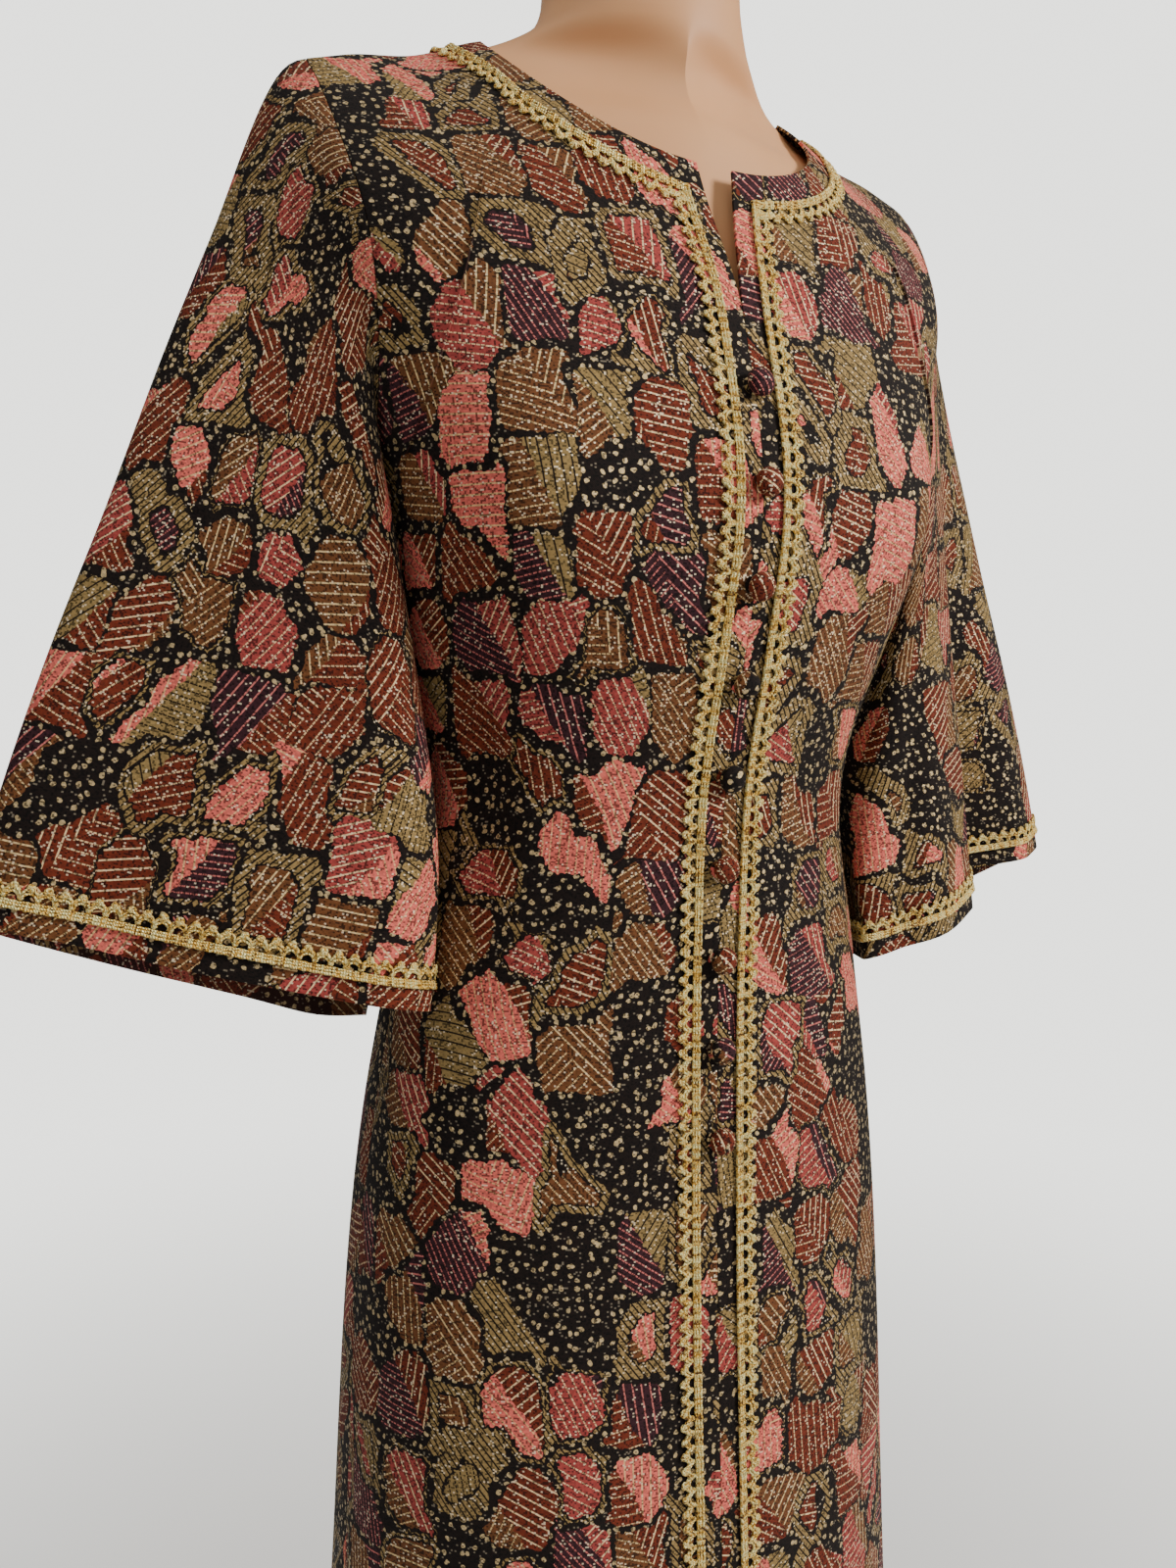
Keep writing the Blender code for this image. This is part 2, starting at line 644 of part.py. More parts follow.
def button(number, edge):
    """A ball button covered in the cloth, sewn on the edge where the two fronts meet."""
    drop = FIRST_BUTTON_DROP + number * BUTTON_SPACING
    heights = NECK_POINT_HEIGHT - drop + np.array([-0.5, 0.0, 0.5]) * BUTTON_RADIUS
    depths = np.interp(heights, edge[::-1, 2], edge[::-1, 1])
    outward = Vector((0.0, heights[0] - heights[2], depths[2] - depths[0])).normalized()
    seat = Vector((0.0, min(depths[1], (depths[0] + depths[2]) / 2), heights[1]))
    profile = list(BUTTON_SHANK)
    for degrees in BUTTON_ANGLES:
        angle = math.radians(degrees)
        rise = BUTTON_MIDDLE + (1 - BUTTON_MIDDLE) * math.sin(angle)
        profile.append((BUTTON_RADIUS * math.cos(angle), BUTTON_HEIGHT * rise))
    made = turned(f"button_{number + 1}", profile, BUTTON_SIDES)
    made.location = seat + outward * SEAM_GAP
    made.rotation_euler = outward.to_track_quat("Z", "Y").to_euler()
    coated(made, CLOTH_FINISH)


def form_ring(drop):
    """A closed ring of the dress form, from its table."""
    half_width, front, back, roundness = read(FORM_SECTIONS, np.float64(drop))
    points = []
    for k in range(FORM_SIDES):
        angle = 2 * math.pi * k / FORM_SIDES
        across = math.copysign(abs(math.cos(angle)) ** (2 / roundness), math.cos(angle))
        around = math.copysign(abs(math.sin(angle)) ** (2 / roundness), math.sin(angle))
        depth = back if around > 0 else front
        points.append((half_width * across, depth * around, NECK_POINT_HEIGHT - drop))
    return points


def beyond_ring(ring, share, rise):
    """A ring of the form made smaller, and moved up or down."""
    return [(x * share, y * share, z + rise) for x, y, z in ring]


def dress_form():
    """A smooth limbless torso with a capped neck, on a pole and a round base."""
    drops = sorted([row[0] for row in FORM_SECTIONS] + list(FORM_EXTRA_DROPS))
    rings = [form_ring(drop) for drop in drops]
    cap = beyond_ring(rings[0], FORM_CAP_SHARE, FORM_CAP_RISE)
    foot = beyond_ring(rings[-1], FORM_FOOT_SHARE, -FORM_FOOT_DROP)
    rings = [cap] + rings + [foot]
    points = [point for ring in rings for point in ring]
    faces = []
    for level in range(len(rings) - 1):
        high = level * FORM_SIDES
        low = high + FORM_SIDES
        for k in range(FORM_SIDES):
            after = (k + 1) % FORM_SIDES
            faces.append((high + k, low + k, low + after, high + after))
    faces.append(tuple(range(FORM_SIDES)))
    last = (len(rings) - 1) * FORM_SIDES
    faces.append(tuple(reversed(range(last, last + FORM_SIDES))))
    torso = placed("form_torso", points, faces)
    coated(torso, FORM_FINISH)
    pole_top = NECK_POINT_HEIGHT - drops[-1] - FORM_FOOT_DROP - SEAM_GAP
    pole_profile = [(POLE_RADIUS, BASE_HEIGHT + SEAM_GAP), (POLE_RADIUS, pole_top)]
    pole = turned("form_pole", pole_profile, POLE_SIDES)
    coated(pole, POLE_FINISH)
    base = turned("form_base", BASE_PROFILE, BASE_SIDES)
    coated(base, BASE_FINISH)


def garment():
    """The kaftan's cloth pieces and their braid. Returns the points of the centre front edge."""
    fronts = {}
    last = CENTRE_COLUMNS + ARMHOLE_COLUMNS
    for side, name in ((-1, "right"), (1, "left")):
        cloth, yoke, skirt = front_piece(side)
        normals = cloth.normals()
        points = np.array(cloth.points)
        made = wall(f"front_{name}", points, cloth.faces, normals, CLOTH)
        coated(made, CLOTH_FINISH)
        fronts[side] = (cloth, yoke, skirt)
        flip = side > 0
        neck = cells(yoke, (1, 2), (1, last), flip)
        centre = cells(yoke, (2, YOKE_ROWS), (1, 2), flip)
        down = cells(skirt, (0, WAIST_ROWS + SKIRT_ROWS), (1, 2), flip)
        braid(f"braid_front_{name}", cloth, normals, neck + centre + down)
    cloth, halves = back_piece()
    normals = cloth.normals()
    made = wall("back", np.array(cloth.points), cloth.faces, normals, CLOTH)
    coated(made, CLOTH_FINISH)
    neck = []
    for (yoke, _), flip in zip(halves, (True, False)):
        neck += cells(yoke, (1, 2), (0, last), flip)
    braid("braid_back_neck", cloth, normals, neck)
    for (side, name), back_half in zip(((-1, "right"), (1, "left")), halves):
        front_cloth, yoke, skirt = fronts[side]
        armhole = armhole_ring(front_cloth, (yoke, skirt), cloth, back_half)
        sleeve, numbers, normals = sleeve_piece(side, armhole)
        made = wall(f"sleeve_{name}", np.array(sleeve.points), sleeve.faces, normals, CLOTH)
        coated(made, CLOTH_FINISH)
        rows = len(numbers)
        hem = cells(numbers, (rows - 3, rows - 2), (0, numbers.shape[1] - 1), side < 0)
        braid(f"braid_cuff_{name}", sleeve, normals, hem)
    front_cloth, yoke, skirt = fronts[1]
    centre = np.concatenate([yoke[:, 0], skirt[1:, 0]])
    return np.array(front_cloth.points)[centre]


clear_scene()
dress_form()
centre_edge = garment()
for number in range(BUTTON_COUNT):
    button(number, centre_edge)
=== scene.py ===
import math

import bpy
import numpy as np
from mathutils import Matrix, Vector
from mathutils.bvhtree import BVHTree


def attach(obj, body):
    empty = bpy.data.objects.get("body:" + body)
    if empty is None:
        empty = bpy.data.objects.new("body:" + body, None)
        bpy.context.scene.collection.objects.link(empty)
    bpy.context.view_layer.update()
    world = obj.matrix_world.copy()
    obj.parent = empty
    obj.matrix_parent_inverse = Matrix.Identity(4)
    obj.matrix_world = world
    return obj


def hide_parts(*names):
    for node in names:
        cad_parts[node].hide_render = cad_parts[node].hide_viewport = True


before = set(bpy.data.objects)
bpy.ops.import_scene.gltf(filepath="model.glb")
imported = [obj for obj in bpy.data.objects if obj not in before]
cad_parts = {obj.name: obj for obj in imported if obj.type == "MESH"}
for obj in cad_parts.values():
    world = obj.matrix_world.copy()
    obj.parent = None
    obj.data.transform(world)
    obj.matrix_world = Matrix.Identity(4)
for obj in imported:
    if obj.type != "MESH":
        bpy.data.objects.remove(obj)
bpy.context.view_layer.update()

# Camera: close to the wearer's right side, at chest height, looking slightly down.
# Its place, heading, tilt and lens were fitted to the neckline, buttons and outlines.
camera_place = Vector((-0.3482, -0.6314, 1.0570))
camera_heading = math.radians(-26.820)
camera_tilt = math.radians(-4.3425)
camera_roll = math.radians(0.5978)
camera = bpy.data.objects.new("camera", bpy.data.cameras.new("camera"))
bpy.context.scene.collection.objects.link(camera)
bpy.context.scene.camera = camera
camera.data.sensor_width = 36.0
camera.data.lens = 26.609
camera.data.clip_start = 0.02
ahead = Vector((
    -math.sin(camera_heading) * math.cos(camera_tilt),
    math.cos(camera_heading) * math.cos(camera_tilt),
    math.sin(camera_tilt),
))
level_right = ahead.cross(Vector((0, 0, 1))).normalized()
level_up = level_right.cross(ahead)
right = level_right * math.cos(camera_roll) + level_up * math.sin(camera_roll)
up = level_up * math.cos(camera_roll) - level_right * math.sin(camera_roll)
turned_view = Matrix((right, up, -ahead)).transposed().to_4x4()
camera.matrix_world = Matrix.Translation(camera_place) @ turned_view

# Dress form: a limbless torso with a capped neck, moulded in skin-toned plastic.
# It is one smooth shell, a little narrower than the kaftan, which rests on its shoulders.
neck_point_height = 1.42
form_sections = (  # drop, half width, front depth, back depth, roundness
    (-0.105, 0.0560, 0.058, 0.054, 2.00),
    (-0.060, 0.0585, 0.058, 0.055, 2.00),
    (-0.028, 0.0620, 0.058, 0.056, 2.00),
    (-0.010, 0.0740, 0.058, 0.056, 1.70),
    (0.0035, 0.1000, 0.056, 0.055, 1.08),
    (0.0205, 0.1400, 0.054, 0.054, 0.98),
    (0.0320, 0.1850, 0.058, 0.058, 1.00),
    (0.0500, 0.1860, 0.070, 0.069, 1.32),
    (0.0900, 0.1780, 0.079, 0.080, 1.90),
    (0.1600, 0.1620, 0.100, 0.092, 2.30),
    (0.2700, 0.1500, 0.119, 0.094, 2.30),
    (0.3400, 0.1340, 0.107, 0.083, 2.30),
    (0.4100, 0.1180, 0.091, 0.073, 2.30),
    (0.5000, 0.1290, 0.087, 0.083, 2.30),
    (0.6100, 0.1470, 0.089, 0.102, 2.30),
    (0.7000, 0.1480, 0.088, 0.102, 2.30),
    (0.7600, 0.1420, 0.084, 0.098, 2.30),
)
form_rows = (  # first drop, last drop, step: the neck, the shoulders, the body
    (-0.105, -0.012, 0.0075),
    (-0.010, 0.060, 0.0022),
    (0.060, 0.757, 0.012),
)
form_cap = ((0.80, 0.0062), (0.86, 0.0060), (0.93, 0.0050), (0.98, 0.0025))  # share, rise
form_foot = ((0.975, -0.004), (0.94, -0.009), (0.90, -0.012))  # share of the width, rise
form_sides = 112
form_colour = (0.63, 0.40, 0.27)
skin_tones = ((0.35, (0.64, 0.325, 0.150)), (0.70, (0.70, 0.365, 0.175)))
skin_roughness = (0.44, 0.58)
mottle_scale, scuff_scale, pore_scale = 9.0, 26.0, 900.0
pore_depth = 0.0002


def read(table, place):
    """The values of a table at a place in its first column, on a smooth curve."""
    rows = np.array(table, float)
    keys, values = rows[:, 0], rows[:, 1:]
    slopes = np.gradient(values, keys, axis=0)
    place = np.clip(place, keys[0], keys[-1])
    low = np.clip(np.searchsorted(keys, place, side="right") - 1, 0, len(keys) - 2)
    step = keys[low + 1] - keys[low]
    t = ((place - keys[low]) / step)[..., None]
    step = step[..., None]
    return (
        (2 * t**3 - 3 * t**2 + 1) * values[low]
        + (t**3 - 2 * t**2 + t) * step * slopes[low]
        + (3 * t**2 - 2 * t**3) * values[low + 1]
        + (t**3 - t**2) * step * slopes[low + 1]
    )


def node(tree, kind, inputs=None, **settings):
    """A shader node with its settings made and its inputs set or linked."""
    made = tree.nodes.new(kind)
    for name, value in settings.items():
        setattr(made, name, value)
    for key, value in (inputs or {}).items():
        if isinstance(value, bpy.types.NodeSocket):
            tree.links.new(value, made.inputs[key])
        else:
            made.inputs[key].default_value = value
    return made


def noise(tree, place, scale, detail):
    """A soft noise texture."""
    return node(tree, "ShaderNodeTexNoise", {"Vector": place, "Scale": scale, "Detail": detail})


def spread(tree, value, low, high, start=0.0, end=1.0):
    """A value that runs from low to high while another one runs from start to end."""
    inputs = {"Value": value, "From Min": start, "From Max": end, "To Min": low, "To Max": high}
    return node(tree, "ShaderNodeMapRange", inputs).outputs["Result"]


def ramp(tree, value, stops, kind="LINEAR"):
    """A colour that runs through stops, each a place from 0 to 1 and its colour."""
    made = node(tree, "ShaderNodeValToRGB", {"Fac": value})
    made.color_ramp.interpolation = kind
    while len(made.color_ramp.elements) < len(stops):
        made.color_ramp.elements.new(1.0)
    for element, (position, colour) in zip(made.color_ramp.elements, stops):
        element.position = position
        element.color = (*colour, 1.0)
    return made.outputs["Color"]


def emboss(tree, shader, height, strength, depth):
    """Raises the surface by a value, with the shader's bump."""
    inputs = {"Height": height, "Strength": strength, "Distance": depth}
    raised = node(tree, "ShaderNodeBump", inputs)
    tree.links.new(raised.outputs["Normal"], shader.inputs["Normal"])


def new_material(name, colour, **shader_values):
    """A material whose shader has these values. Returns it, its tree and its shader."""
    made = bpy.data.materials.new(name)
    made.use_nodes = True
    made.diffuse_color = (*colour, 1.0)
    shader = made.node_tree.nodes["Principled BSDF"]
    shader.inputs["Base Color"].default_value = (*colour, 1.0)
    for key, value in shader_values.items():
        shader.inputs[key.replace("_", " ")].default_value = value
    return made, made.node_tree, shader


def new_piece(name, points, faces, corners, materials, which=None):
    """A smooth mesh that rides on the object, with its face corners' places on the cloth."""
    mesh = bpy.data.meshes.new(name)
    mesh.from_pydata([tuple(p) for p in points], [], [tuple(map(int, f)) for f in faces])
    if corners is not None:
        layer = mesh.uv_layers.new(name="cloth")
        layer.data.foreach_set("uv", np.asarray(corners, np.float32).ravel())
    for material in materials:
        mesh.materials.append(material)
    if which is not None:
        mesh.polygons.foreach_set("material_index", np.asarray(which, np.int32))
    mesh.shade_smooth()
    piece = bpy.data.objects.new(name, mesh)
    bpy.context.scene.collection.objects.link(piece)
    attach(piece, "root")
    return piece


def closed_shell(rings):
    """Points and faces of a shell through closed rings from top to bottom, capped."""
    sides = len(rings[0])
    points = [point for ring in rings for point in ring]
    faces = []
    for level in range(len(rings) - 1):
        high, low = level * sides, (level + 1) * sides
        for k in range(sides):
            after = (k + 1) % sides
            faces.append((high + k, low + k, low + after, high + after))
    faces.append(tuple(range(sides)))
    last = (len(rings) - 1) * sides
    faces.append(tuple(reversed(range(last, last + sides))))
    return points, faces


def form_ring(drop, shrink=1.0, raised=0.0):
    """A closed ring of the dress form at a drop, or a smaller one above or below it."""
    half_width, front, back, roundness = read(form_sections, np.float64(drop))
    angle = np.linspace(0, 2 * np.pi, form_sides, endpoint=False)
    across = np.sign(np.cos(angle)) * np.abs(np.cos(angle)) ** (2 / roundness)
    around = np.sign(np.sin(angle)) * np.abs(np.sin(angle)) ** (2 / roundness)
    y = np.where(around > 0, back, front) * around * shrink
    height = np.full(form_sides, neck_point_height - drop + raised)
    return np.stack([half_width * across * shrink, y, height], axis=1)


form_top, form_bottom = form_sections[0][0], form_sections[-1][0]
rings = [form_ring(form_top, shrink, raised) for shrink, raised in form_cap]
for row in form_rows:
    rings += [form_ring(drop) for drop in np.arange(*row)]
rings.append(form_ring(form_bottom))
rings += [form_ring(form_bottom, shrink, raised) for shrink, raised in form_foot]
skin, tree, shader = new_material(
    "form_skin", form_colour, Roughness=0.5, Specular_IOR_Level=0.28,
    Subsurface_Weight=0.08, Subsurface_Radius=(0.012, 0.005, 0.003),
)
place = node(tree, "ShaderNodeTexCoord").outputs["Object"]
mottle = noise(tree, place, mottle_scale, 3.0)
tree.links.new(ramp(tree, mottle.outputs["Fac"], skin_tones), shader.inputs["Base Color"])
scuffs = noise(tree, place, scuff_scale, 5.0)
rough = spread(tree, scuffs.outputs["Fac"], *skin_roughness)
tree.links.new(rough, shader.inputs["Roughness"])
pores = noise(tree, place, pore_scale, 2.0)
emboss(tree, shader, pores.outputs["Fac"], 0.12, pore_depth)
points, faces = closed_shell(rings)
torso = new_piece("torso", points, faces, None, [skin])
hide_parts("form_torso")

# Stand: a brushed steel pole that screws up into the torso, on a shallow round base.
# Both are turned parts; the base's top slopes gently down to a rounded rim.
pole_radius = 0.0125
pole_gap = 0.0003
base_radius = 0.178
base_height = 0.022
base_profile = (  # radius, height
    (0.0145, base_height), (0.028, base_height), (0.0298, 0.0216), (0.032, 0.0205),
    (0.050, 0.0180), (0.110, 0.0152), (0.168, 0.0123), (0.172, 0.0119), (0.1752, 0.0108),
    (0.1772, 0.0095), (base_radius, 0.0075), (base_radius, 0.0025), (0.1774, 0.0009),
    (0.1760, 0.0),
)
base_sides, pole_sides = 144, 48
steel_colour = (0.55, 0.55, 0.54)
steel_tones = ((0.0, (0.47, 0.47, 0.46)), (1.0, (0.62, 0.62, 0.61)))
steel_roughness = (0.26, 0.44)
brush_scale = (40.0, 40.0, 1600.0)
brush_depth = 0.0001
wear_scale = 14.0
steel, tree, shader = new_material(
    "brushed_steel", steel_colour, Metallic=1.0, Roughness=0.34
)
place = node(tree, "ShaderNodeTexCoord").outputs["Object"]
stretch = node(tree, "ShaderNodeMapping", {"Vector": place, "Scale": brush_scale})
brushing = noise(tree, stretch.outputs["Vector"], 1.0, 4.0).outputs["Fac"]
rough = spread(tree, brushing, *steel_roughness)
tree.links.new(rough, shader.inputs["Roughness"])
wear = noise(tree, place, wear_scale, 4.0)
tree.links.new(ramp(tree, wear.outputs["Fac"], steel_tones), shader.inputs["Base Color"])
emboss(tree, shader, brushing, 0.2, brush_depth)


def turned_rings(profile, sides):
    """Rings of a part turned about the upright axis, from top to bottom."""
    angle = np.linspace(0, 2 * np.pi, sides, endpoint=False)
    return [
        np.stack([r * np.cos(angle), r * np.sin(angle), np.full(sides, z)], axis=1)
        for r, z in profile
    ]


pole_top = neck_point_height - form_bottom + form_foot[-1][1] - pole_gap
pole_bottom = base_height + pole_gap
pole_profile = (  # radius, height
    (pole_radius, pole_top), (pole_radius, 0.40), (pole_radius, 0.05),
    (pole_radius, pole_bottom + 0.001), (pole_radius - 0.0006, pole_bottom),
)
for name, profile, sides in (("base", base_profile, base_sides), ("pole", pole_profile, pole_sides)):
    points, faces = closed_shell(turned_rings(profile, sides))
    turned = new_piece(name, points, faces, None, [steel])
    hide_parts(f"form_{name}")

# Cloth: a jacquard double knit with gold thread, in patches of salmon, brick, tan and
# plum, hatched with cream stitches, on a near-black ground that is dotted with gold.
# The patches are a plain patchwork. Its sizes on the knit are in millimetres.
patch_size = 33.0
patch_length = 1.25
patch_jitter = 0.80
ground_from = 0.86
gap_widths = (0.1, 2.5)
gap_drift = (0.34, 0.62)
drift_scale, drift_reach = 0.024, 12.0
teeth_scale, teeth_reach = 0.42, 3.6
hatch_width = 0.80
dash_pitch, dash_gap = 2.3, 0.22
cross_pitch, cross_width = 5.0, 0.9
corner_slope = 0.7
corner_reach = (22.0, -9.0)  # factor of the patch's own number, and what is added
dot_pitch, dot_jitter = 6.6, 0.85
dot_sizes = (0.13, 0.27)
trim_reach_of = (12.0, -6.0)  # factor of the patch's own number, and what is added
outline_width = 0.55
tick_pitch, tick_width, tick_slant = 3.1, 0.9, (0.8, 0.6)
dot_size_teeth = (0.3, 0.7)
second_draw = 7.3
stitch_width, stitch_length = 1.05, 0.85
stitch_shade = (0.75, 0.65)  # factor of the stitch's own number, and what is added
dark_share, dark_shade = 0.24, (-0.6, 1.0)
rib_shade = 0.20
# Painted glints: the share of stitches left unpainted, and how strongly the rest are painted
# near-white as highlights.
painted_glint_share, painted_glint_strength = 0.95, 0.8
painted_glint_off_ground = (0.75, 0.25)
trim_shine, hatch_shine = 0.55, 0.7
rib_rise, stitch_rise, gold_rise = 0.25, 0.45, 0.35
right_side_shine, wrong_side_shine = 0.65, 0.25
wrong_side_share = 0.30
knit_roughness = (-0.34, 0.76)  # factor of the gold's share, and what is added
knit_relief = (0.7, 0.0005)
ground_colour = (0.0080, 0.0042, 0.0032)
dot_colour = (0.52, 0.39, 0.200)
gold_colour = (0.300, 0.200, 0.076)
# Colour of the painted glint on the few metal-thread stitches.
painted_glint_colour = (0.90, 0.76, 0.54)
wrong_side_colour = (0.100, 0.038, 0.030)
pitch_unit = 10.0
patch_colours = (  # share of the patches up to here, ground, stitches, pitch of the stitches
    (0.00, (0.65, 0.135, 0.105), (0.70, 0.42, 0.20), 4.6),
    (0.17, (0.140, 0.022, 0.009), (0.74, 0.53, 0.29), 5.4),
    (0.45, (0.140, 0.050, 0.017), (0.68, 0.49, 0.24), 4.4),
    (0.62, (0.034, 0.010, 0.014), (0.52, 0.15, 0.130), 3.4),
    (0.72, (0.310, 0.048, 0.042), (0.74, 0.52, 0.29), 4.8),
    (0.82, (0.270, 0.180, 0.066), (0.014, 0.008, 0.005), 3.8),
)


def maths(tree, operation, first, second=0.0, third=0.0):
    """The result of one step of arithmetic in a shader."""
    inputs = {0: first, 1: second, 2: third}
    return node(tree, "ShaderNodeMath", inputs, operation=operation).outputs[0]


def vectors(tree, operation, first, second):
    """The result of one step of arithmetic on two places or colours."""
    inputs = {0: first, 1: second}
    return node(tree, "ShaderNodeVectorMath", inputs, operation=operation).outputs[0]


def blended(tree, share, first, second):
    """One colour over another by a share."""
    mix = node(tree, "ShaderNodeMix", {"Factor": share}, data_type="RGBA")
    for key, value in ((6, first), (7, second)):
        if isinstance(value, bpy.types.NodeSocket):
            tree.links.new(value, mix.inputs[key])
        else:
            mix.inputs[key].default_value = (*value, 1.0)
    return mix.outputs[2]


jacquard = bpy.data.node_groups.new("jacquard", "ShaderNodeTree")
for label, direction, kind in (
    ("Place", "INPUT", "NodeSocketVector"),
    ("Color", "OUTPUT", "NodeSocketColor"),
    ("Gold", "OUTPUT", "NodeSocketFloat"),
    ("Height", "OUTPUT", "NodeSocketFloat"),
):
    jacquard.interface.new_socket(label, in_out=direction, socket_type=kind)
entry = jacquard.nodes.new("NodeGroupInput")
leave = jacquard.nodes.new("NodeGroupOutput")


def product(first, second):
    """Two values of the knit's group, multiplied."""
    return maths(jacquard, "MULTIPLY", first, second)


def scaled(value, factor, added):
    """A value of the knit's group, multiplied and then added to."""
    return maths(jacquard, "MULTIPLY_ADD", value, factor, added)


def above(value, limit):
    """1 where a value of the knit's group is above a limit, and 0 elsewhere."""
    return maths(jacquard, "GREATER_THAN", value, limit)


def below(value, limit):
    """1 where a value of the knit's group is below a limit, and 0 elsewhere."""
    return maths(jacquard, "LESS_THAN", value, limit)


def outside(mask):
    """1 where a mask of the knit's group is 0."""
    return maths(jacquard, "SUBTRACT", 1.0, mask)


def share_of(value, pitch):
    """How far a value of the knit's group is through its repeat, from 0 to 1."""
    return maths(jacquard, "FRACT", maths(jacquard, "DIVIDE", value, pitch))


def lines_of(value, pitch, width):
    """1 on lines of a width that repeat at a pitch, and 0 between them."""
    off_centre = maths(jacquard, "SUBTRACT", share_of(value, pitch), 0.5)
    run = product(maths(jacquard, "ABSOLUTE", off_centre), pitch)
    return below(run, width / 2)


def shifted(place, texture, reach):
    """Places on the knit moved by a texture's colour, up to half its reach each way."""
    centred = vectors(jacquard, "SUBTRACT", texture, (0.5, 0.5, 0.5))
    move = vectors(jacquard, "MULTIPLY", centred, (reach, reach, 0.0))
    return vectors(jacquard, "ADD", place, move)


def patch_ramp(choice, column):
    """What a column of the patches' table gives for a choice from 0 to 1."""
    stops = [(row[0], row[column]) for row in patch_colours]
    if column == 3:
        stops = [(share, (size / pitch_unit,) * 3) for share, size in stops]
    return ramp(jacquard, choice, stops, "CONSTANT")


def axes_of(place):
    """A place's two directions on the knit."""
    parts = node(jacquard, "ShaderNodeSeparateXYZ", {0: place})
    return parts.outputs[0], parts.outputs[1]


millimetres = vectors(jacquard, "MULTIPLY", entry.outputs["Place"], (1000.0, 1000.0, 0.0))
flat_x, flat_y = axes_of(millimetres)
drift = noise(jacquard, millimetres, drift_scale, 1.0)
teeth = noise(jacquard, millimetres, teeth_scale, 0.0)
wandering = shifted(millimetres, drift.outputs["Color"], drift_reach)
ragged = shifted(wandering, teeth.outputs["Color"], teeth_reach)
squeezed = vectors(jacquard, "MULTIPLY", ragged, (1.0, 1.0 / patch_length, 1.0))
patch_inputs = {"Vector": squeezed, "Scale": 1.0 / patch_size, "Randomness": patch_jitter}
nearest, second = (
    node(
        jacquard, "ShaderNodeTexVoronoi", patch_inputs,
        feature=feature, voronoi_dimensions="2D", distance="CHEBYCHEV",
    )
    for feature in ("F1", "F2")
)
between = maths(jacquard, "SUBTRACT", second.outputs["Distance"], nearest.outputs["Distance"])
from_edge = product(between, patch_size * 0.5)
choice = node(jacquard, "ShaderNodeSeparateColor", {0: nearest.outputs["Color"]})
which_patch, which_way, which_trim = (choice.outputs[k] for k in range(3))

# The ground between the patches, near-black with gold dots, and the gold strips of
# slanted ticks that edge some of the patches.
gap = spread(jacquard, drift.outputs["Fac"], *gap_widths, *gap_drift)
between_patches = below(from_edge, gap)
in_ground = maths(jacquard, "MAXIMUM", between_patches, above(which_patch, ground_from))
dot_inputs = {"Vector": millimetres, "Scale": 1.0 / dot_pitch, "Randomness": dot_jitter}
dots = node(jacquard, "ShaderNodeTexVoronoi", dot_inputs, voronoi_dimensions="2D")
dot_size = spread(jacquard, teeth.outputs["Fac"], *dot_sizes, *dot_size_teeth)
dot = below(dots.outputs["Distance"], dot_size)
dotted = blended(jacquard, dot, ground_colour, dot_colour)
inside_trim = maths(jacquard, "SUBTRACT", from_edge, gap)
trim_reach = scaled(which_trim, *trim_reach_of)
in_trim = below(inside_trim, trim_reach)
off_outline = maths(jacquard, "SUBTRACT", inside_trim, trim_reach)
outline = below(maths(jacquard, "ABSOLUTE", off_outline), outline_width)
slanted = maths(jacquard, "ADD", product(flat_x, tick_slant[0]), product(flat_y, tick_slant[1]))
ticks = lines_of(slanted, tick_pitch, tick_width)
trim = blended(jacquard, ticks, gold_colour, ground_colour)

# The patches: each has its own colour and hatching, and some have a corner of another.
way = product(which_way, math.pi)
turned_place = node(
    jacquard, "ShaderNodeVectorRotate", {"Vector": millimetres, "Angle": way},
    rotation_type="Z_AXIS",
)
across_hatch, along_hatch = axes_of(turned_place.outputs[0])
pitch = product(patch_ramp(which_patch, 3), pitch_unit)
hatching = lines_of(across_hatch, pitch, hatch_width)
hatch = product(hatching, above(share_of(along_hatch, dash_pitch), dash_gap))
core = blended(jacquard, hatch, patch_ramp(which_patch, 1), patch_ramp(which_patch, 2))
second_choice = maths(jacquard, "FRACT", product(which_patch, second_draw))
cross_hatching = lines_of(along_hatch, cross_pitch, cross_width)
other = blended(
    jacquard, cross_hatching, patch_ramp(second_choice, 1), patch_ramp(second_choice, 2)
)
local_x, local_y = axes_of(vectors(jacquard, "SUBTRACT", squeezed, nearest.outputs["Position"]))
corner = maths(jacquard, "ADD", local_x, product(local_y, corner_slope))
in_corner = above(corner, scaled(which_way, *corner_reach))
core = blended(jacquard, in_corner, core, other)
woven = blended(jacquard, in_trim, core, trim)
woven = blended(jacquard, outline, woven, ground_colour)
woven = blended(jacquard, in_ground, woven, dotted)

# The stitches: each is a little lighter or darker and stands up a little. A few metal-thread stitches
# are made metallic and raised, and are also painted near-white: a painted glint that stands in for
# their highlight.
stitch_cell = vectors(jacquard, "SNAP", millimetres, (stitch_width, stitch_length, 1.0))
stitch = node(
    jacquard, "ShaderNodeTexWhiteNoise", {"Vector": stitch_cell}, noise_dimensions="2D"
).outputs["Value"]
rib_x = maths(jacquard, "SINE", product(flat_x, 2 * math.pi / stitch_width))
rib_y = maths(jacquard, "SINE", product(flat_y, 2 * math.pi / stitch_length))
ribs = product(rib_x, rib_y)
darkened = scaled(below(stitch, dark_share), *dark_shade)
shade = scaled(ribs, rib_shade, product(scaled(stitch, *stitch_shade), darkened))
grained = node(
    jacquard, "ShaderNodeVectorMath", {0: woven, 3: shade}, operation="SCALE"
).outputs[0]
not_ground = outside(in_ground)
